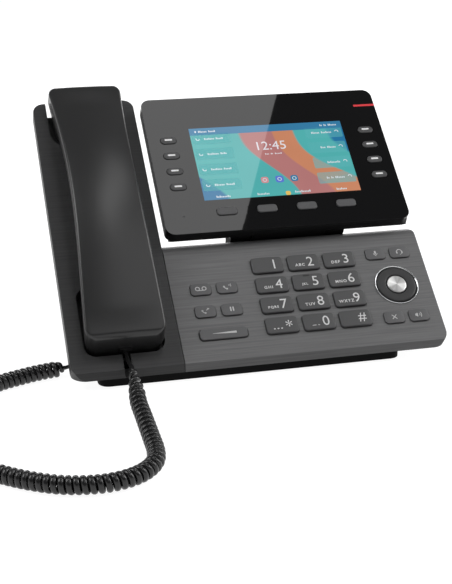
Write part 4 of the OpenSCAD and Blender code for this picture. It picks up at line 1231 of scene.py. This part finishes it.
def place_legend(bm, node, body, material, crown_width=None):
    """Lays a flat legend, drawn round the key's middle, on the key's crowned top."""
    middle = slope_middle(node)
    if crown_width:
        radius = crown_width * crown_width / (8 * CROWN_RISE)
        for vert in bm.verts:
            vert.co.z -= vert.co.x * vert.co.x / (2 * radius)
    matrix = SLOPE @ Matrix.Translation(middle + Vector((0, 0, -SINK)))
    mesh = to_mesh(node + "_print", bm, matrix)
    add_piece(node + "_print", mesh, material, body)


def sign_arc(bm, x, y, radius, width, start, sweep, steps):
    """Adds an arc or a ring of a sign."""
    arc_band(bm, (x * MM, y * MM, 0), radius * MM, width * MM, start, sweep, INK, steps)


def sign_bar(bm, from_x, from_y, to_x, to_y, width):
    """Adds a straight bar of a sign."""
    stroke(bm, (from_x * MM, from_y * MM), (to_x * MM, to_y * MM), width * MM, INK)


def sign_dot(bm, x, y, radius):
    """Adds a dot of a sign."""
    disc(bm, (x * MM, y * MM, 0), radius * MM, INK, 10)


def sign_receiver(bm, x, y, size):
    """Adds a telephone receiver: an arc with a dot at each end."""
    x, y, size = x * MM, y * MM, size * MM
    middle = (x + 0.55 * size, y + 0.55 * size)
    arc_band(bm, (*middle, 0), size, size * 0.30, 190, 70, INK, 8)
    for turn in (190, 260):
        angle = math.radians(turn)
        end = (middle[0] + size * math.cos(angle), middle[1] + size * math.sin(angle), 0)
        disc(bm, end, size * 0.30, INK, 12)


SIGN_SHAPES = {"arc": sign_arc, "bar": sign_bar, "dot": sign_dot, "receiver": sign_receiver}


class PHONE_OT_build_keys(bpy.types.Operator):
    """Rounds every key and prints its digit, letters or sign."""

    bl_idname = "phone.build_keys"
    bl_label = "Keys"

    def execute(self, context):
        keys = context.scene.phone_keys
        for node, (digit, letters) in DIAL_LEGENDS.items():
            softened(node + "_cap", node, "dial key plastic", node,
                     keys.dial_edge, segments=3, above=KEY_RIM)
            self.print_dial(keys, node, digit, letters)
        for name, shapes in SIGNS.items():
            node = name + "_key"
            softened(node + "_cap", node, "function key plastic", node,
                     keys.small_edge, segments=3, above=KEY_RIM)
            bm = bmesh.new()
            for shape, *sizes in shapes:
                SIGN_SHAPES[shape](bm, *sizes)
            bmesh.ops.scale(bm, vec=(SIGN_SCALE, SIGN_SCALE, 1), verts=bm.verts)
            place_legend(bm, node, node, "soft print")
        softened("volume_cap", "volume_rocker", "function key plastic", "volume",
                 keys.small_edge, segments=3, above=KEY_RIM)
        self.print_volume()
        for i in range(1, 9):
            node = f"line_key_{i}"
            softened(node + "_cap", node, "side key plastic", node,
                     keys.small_edge, above=DISPLAY_KEY_RIM)
            bm = bmesh.new()
            rounded_plate(bm, MARK_PLACE, MARK_SIZE, MARK_CORNER, INK)
            place_legend(bm, node, node, "key mark")
        for i in range(1, 5):
            node = f"menu_key_{i}"
            softened(node + "_cap", node, "menu key plastic", node,
                     keys.small_edge, above=DISPLAY_KEY_RIM)
        return {"FINISHED"}

    def print_dial(self, keys, node, digit, letters):
        """A digit, its letters or small signs, and the bar that marks the middle key by touch."""
        bm = bmesh.new()
        tall = keys.digit_height * DIGIT_SHARE.get(digit, 1.0)
        add_text(bm, digit, tall, (DIGIT_ACROSS, DIGIT_LIFT.get(digit, 0.0)), INK)
        if letters:
            add_text(bm, letters, keys.letter_height, LETTERS_PLACE, INK, 1.3, 0.035)
        if digit == "*":
            for x in STAR_DOTS:
                rounded_plate(bm, (x, SIGNS_UP, 0), SMALL_DOT_SIZE, SMALL_DOT_CORNER, INK, 2)
        if digit == "0":
            for start, end in ZERO_BARS:
                stroke(bm, (start, SIGNS_UP), (end, SIGNS_UP), SMALL_BAR_WIDTH, INK)
        place_legend(bm, node, node, "key print", DIAL_CROWN_WIDTH)
        if digit == "5":
            bar = bmesh.new()
            verts = rounded_plate(bar, TOUCH_PLACE, TOUCH_SIZE, TOUCH_CORNER, TOUCH_HEIGHT, 4)
            bmesh.ops.translate(bar, vec=(0, 0, -TOUCH_SINK), verts=verts)
            mesh = to_mesh("touch_bar", bar,
                           SLOPE @ Matrix.Translation(slope_middle(node)), math.radians(50))
            add_piece("touch_bar", mesh, "touch bar", node)

    def print_volume(self):
        """A wedge that grows to the right."""
        bm = bmesh.new()
        verts = rounded_plate(bm, (*WEDGE_PLACE, 0), WEDGE_SIZE, WEDGE_CORNER, INK, 3)
        for vert in verts:
            share = WEDGE_TIP + (1 - WEDGE_TIP) * (vert.co.x + WEDGE_START) / WEDGE_SIZE[0]
            vert.co.y = WEDGE_PLACE[1] + (vert.co.y - WEDGE_PLACE[1]) * share
        place_legend(bm, "volume_rocker", "volume", "soft print")


# ---------------------------------------------------------------- display picture

# The picture's middle on the slope and its size, and heights and places on it from that middle
SCREEN_MIDDLE = (0.03545, 0.1481, 0.0100)
SCREEN_SIZE = (0.1107, 0.0623)
STATUS_HEIGHT = 0.0062
LINE_ROWS = [0.1696 - 0.0134 * i - SCREEN_MIDDLE[1] for i in range(4)]
LABEL_SIZE = (0.027, 0.0096)
LABEL_INSET = 0.0145
TEXT_INSET = 0.0035
MENU_COLUMNS = [(i - 1.5) * 0.0279 for i in range(4)]
MENU_UP = 0.0024
CLOCK_HEIGHT = 0.0074
CLOCK_PLACE = (0.0005, 0.0125)
DATE_PLACE = (0.0005, 0.0052)
TILE_COLUMNS = (-0.0105, 0.0, 0.0105)
TILE_ROW = -0.0172
BADGE_ROW = -0.0295
# Thickness of one layer of the picture
LAYER = 0.00003
# Heights of the bars that stand for words, the gap between words, the width of one letter, and
# the height and width that a low letter's bar takes of that
STATUS_TEXT = 0.0017
LABEL_TEXT = 0.0018
DATE_TEXT = 0.0012
WORD_GAP = 0.0011
LETTER_WIDTH = 0.0011
LOW_LETTER = 0.68
LETTER_BAR = 0.70
# Lengths of the words beside each line key, left and right of the picture, and over the soft keys
LINE_WORDS = (((0.0072, 0.0052), (0.0062, 0.0078)), ((0.0080, 0.0046), (0.0038, 0.0064)),
              ((0.0078, 0.0056), (0.0094,)), ((0.0070, 0.0060), (0.0022, 0.0018, 0.0070)))
MENU_WORDS = ((0.0100,), (0.0086,), (0.0112,), (0.0076,))


def screen_piece(name, bm, material, layer):
    """Lays a drawing on the display's glass, one layer above another."""
    place = Vector(SCREEN_MIDDLE) + Vector((0, 0, LAYER * (layer - 0.6)))
    mesh = to_mesh(name, bm, SLOPE @ Matrix.Translation(place))
    add_piece(name, mesh, material, "display")


def words(bm, x, y, lengths, height, align=-1):
    """Adds a row of short bars that stand for words, from x on, or up to it, or round it."""
    total = sum(lengths) + WORD_GAP * (len(lengths) - 1)
    at = x if align < 0 else x - total if align > 0 else x - total / 2
    for length in lengths:
        count = max(1, round(length / LETTER_WIDTH))
        step = length / count
        for k in range(count):
            # A word's first letter is tall, and so is one letter in five
            tall = height * (1.0 if k == 0 or (k * 7 + count) % 5 == 3 else LOW_LETTER)
            place = (at + (k + 0.5) * step, y - (height - tall) / 2, 0)
            rounded_plate(bm, place, (step * LETTER_BAR, tall), step * 0.2, LAYER, 1)
        at += length + WORD_GAP


class PHONE_OT_build_picture(bpy.types.Operator):
    """Draws the lit picture on the display."""

    bl_idname = "phone.build_picture"
    bl_label = "Display picture"

    def execute(self, context):
        screen = context.scene.phone_screen
        width, height = SCREEN_SIZE
        bm = bmesh.new()
        rounded_plate(bm, (0, 0, 0), SCREEN_SIZE, 0, LAYER)
        screen_piece("screen_picture", bm, "picture", 1)
        bm = bmesh.new()
        rounded_plate(bm, (0, (height - STATUS_HEIGHT) / 2, 0), (width, STATUS_HEIGHT), 0, LAYER)
        screen_piece("screen_status_strip", bm, "status strip", 2)
        bm = bmesh.new()
        for y in LINE_ROWS:
            for side in (-1, 1):
                rounded_plate(bm, (side * (width / 2 - LABEL_INSET), y, 0), LABEL_SIZE, 0.0012,
                              LAYER, 3)
        screen_piece("screen_label_fields", bm, "label field", 2)
        bm = bmesh.new()
        self.draw_labels(bm, width, height)
        screen_piece("screen_labels", bm, "screen white", 3)
        bm = bmesh.new()
        add_text(bm, screen.clock, CLOCK_HEIGHT, CLOCK_PLACE, LAYER)
        words(bm, *DATE_PLACE, (0.0030, 0.0018, 0.0052), DATE_TEXT, 0)
        screen_piece("screen_clock", bm, "screen clock", 3)
        left, middle, right = TILE_COLUMNS
        for name, x, y, size, material in (
                ("screen_tile_left", left, TILE_ROW, 0.0052, "screen rose"),
                ("screen_tile_middle", middle, TILE_ROW, 0.0058, "screen violet"),
                ("screen_tile_right", right, TILE_ROW, 0.0052, "status strip"),
                ("screen_badge", 0.0035, BADGE_ROW, 0.0034, "screen gold")):
            bm = bmesh.new()
            rounded_plate(bm, (x, y, 0), (size, size), size * 0.3, LAYER, 4)
            screen_piece(name, bm, material, 3)
        bm = bmesh.new()
        for x in TILE_COLUMNS:
            arc_band(bm, (x, TILE_ROW, 0), 0.0013, 0.0005, 0, 360, LAYER, 6)
        screen_piece("screen_tile_signs", bm, "screen white", 4)
        return {"FINISHED"}

    def draw_labels(self, bm, width, height):
        """Words in the status strip, beside the line keys and over the soft keys."""
        left = -width / 2 + TEXT_INSET
        right = width / 2 - TEXT_INSET
        top = (height - STATUS_HEIGHT) / 2
        words(bm, left, top, (0.0016, 0.0062, 0.0050), STATUS_TEXT)
        words(bm, right, top, (0.0020, 0.0020, 0.0064), STATUS_TEXT, 1)
        for y, (near, far) in zip(LINE_ROWS, LINE_WORDS):
            arc_band(bm, (left + 0.0014, y + 0.0002, 0), 0.0012, 0.0006, 150, 200, LAYER, 8)
            words(bm, left + 0.0058, y, near, LABEL_TEXT)
            arc_band(bm, (right - 0.0014, y + 0.0002, 0), 0.0012, 0.0006, -30, 200, LAYER, 8)
            words(bm, right - 0.0052, y, far, LABEL_TEXT, 1)
        for x, lengths in zip(MENU_COLUMNS, MENU_WORDS):
            words(bm, x, -height / 2 + MENU_UP, lengths, LABEL_TEXT, 0)


# ---------------------------------------------------------------- plain CAD parts

PLAIN_FINISHES = {
    "hinge_pin": "pin steel", "rubber_feet": "foot rubber", "main_board": "circuit board",
    "loudspeaker": "inner plastic", "nav_fulcrum": "inner plastic", "hook_switch": "inner plastic",
    "lcd_module": "screen edge", "light_bar": "red lens", "nav_trim": "chrome",
    "handset_back": "satin handset", "handset_face": "satin handset",
    "handset_capsules": "inner plastic", "handset_plug": "plug plastic",
    "base_plug": "plug plastic", "nav_ring": "navigation ring plastic",
    "nav_ok": "spun silver", "cord_coil": "cord plastic", "handset_lead": "cord plastic",
    "base_lead": "cord plastic", "volume_rocker": "function key plastic",
    "faceplate": "brushed plate", "cradle_cover": "brushed cradle",
    "display_glass": "display glass", "display_housing": "satin shell",
}


def finish_of(node):
    """Name of the finish that a CAD node gets when it shows as it is."""
    if node in PLAIN_FINISHES:
        return PLAIN_FINISHES[node]
    for start, name in (("dial_key", "dial key plastic"), ("line_key", "side key plastic"),
                        ("menu_key", "menu key plastic")):
        if node.startswith(start):
            return name
    if node.endswith("_key"):
        return "function key plastic"
    return "matt shell"


class PHONE_OT_finish_parts(bpy.types.Operator):
    """Gives every CAD node its finish and rounds the navigation pad."""

    bl_idname = "phone.finish_parts"
    bl_label = "Part finishes"

    def execute(self, context):
        for node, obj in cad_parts.items():
            obj.data.materials.clear()
            obj.data.materials.append(finish(finish_of(node)))
        softened("nav_pad_ring", "nav_ring", "navigation ring plastic", "nav_pad",
                 0.0004, segments=3)
        softened("nav_pad_button", "nav_ok", "spun silver", "nav_select",
                 0.0003, segments=3)
        softened("nav_pad_trim", "nav_trim", "chrome", "base", 0.0002, segments=3)
        return {"FINISHED"}


class PHONE_PT_sidebar(bpy.types.Panel):
    """Lists the steps that dress the phone."""

    bl_idname = "PHONE_PT_sidebar"
    bl_label = "Desk Phone"
    bl_space_type = "VIEW_3D"
    bl_region_type = "UI"
    bl_category = "Desk Phone"

    def draw(self, context):
        for step in STEPS:
            self.layout.operator(step.bl_idname)
        for attribute, group in SETTINGS.items():
            holder = getattr(context.scene, attribute)
            box = self.layout.box()
            box.label(text=group.__doc__)
            for name in group.__annotations__:
                box.prop(holder, name)


SETTINGS = {
    "phone_case": PhoneCaseSettings, "phone_keys": PhoneKeySettings,
    "phone_screen": PhoneScreenSettings, "phone_cord": PhoneCordSettings,
    "phone_stage": PhoneStageSettings,
}
STEPS = (PHONE_OT_build_stage, PHONE_OT_build_cord, PHONE_OT_finish_parts, PHONE_OT_finish_case,
         PHONE_OT_build_handset, PHONE_OT_build_keys, PHONE_OT_build_picture)


def register():
    for name, group in SETTINGS.items():
        bpy.utils.register_class(group)
        setattr(bpy.types.Scene, name, PointerProperty(type=group))
    for made in (*STEPS, PHONE_PT_sidebar):
        bpy.utils.register_class(made)


def unregister():
    for made in (PHONE_PT_sidebar, *reversed(STEPS)):
        bpy.utils.unregister_class(made)
    for name, group in SETTINGS.items():
        delattr(bpy.types.Scene, name)
        bpy.utils.unregister_class(group)


def main():
    register()
    define_finishes()
    bpy.ops.phone.build_stage()
    bpy.ops.phone.build_cord()
    bpy.ops.phone.finish_parts()
    bpy.ops.phone.finish_case()
    bpy.ops.phone.build_handset()
    bpy.ops.phone.build_keys()
    bpy.ops.phone.build_picture()


if __name__ == "__main__":
    main()
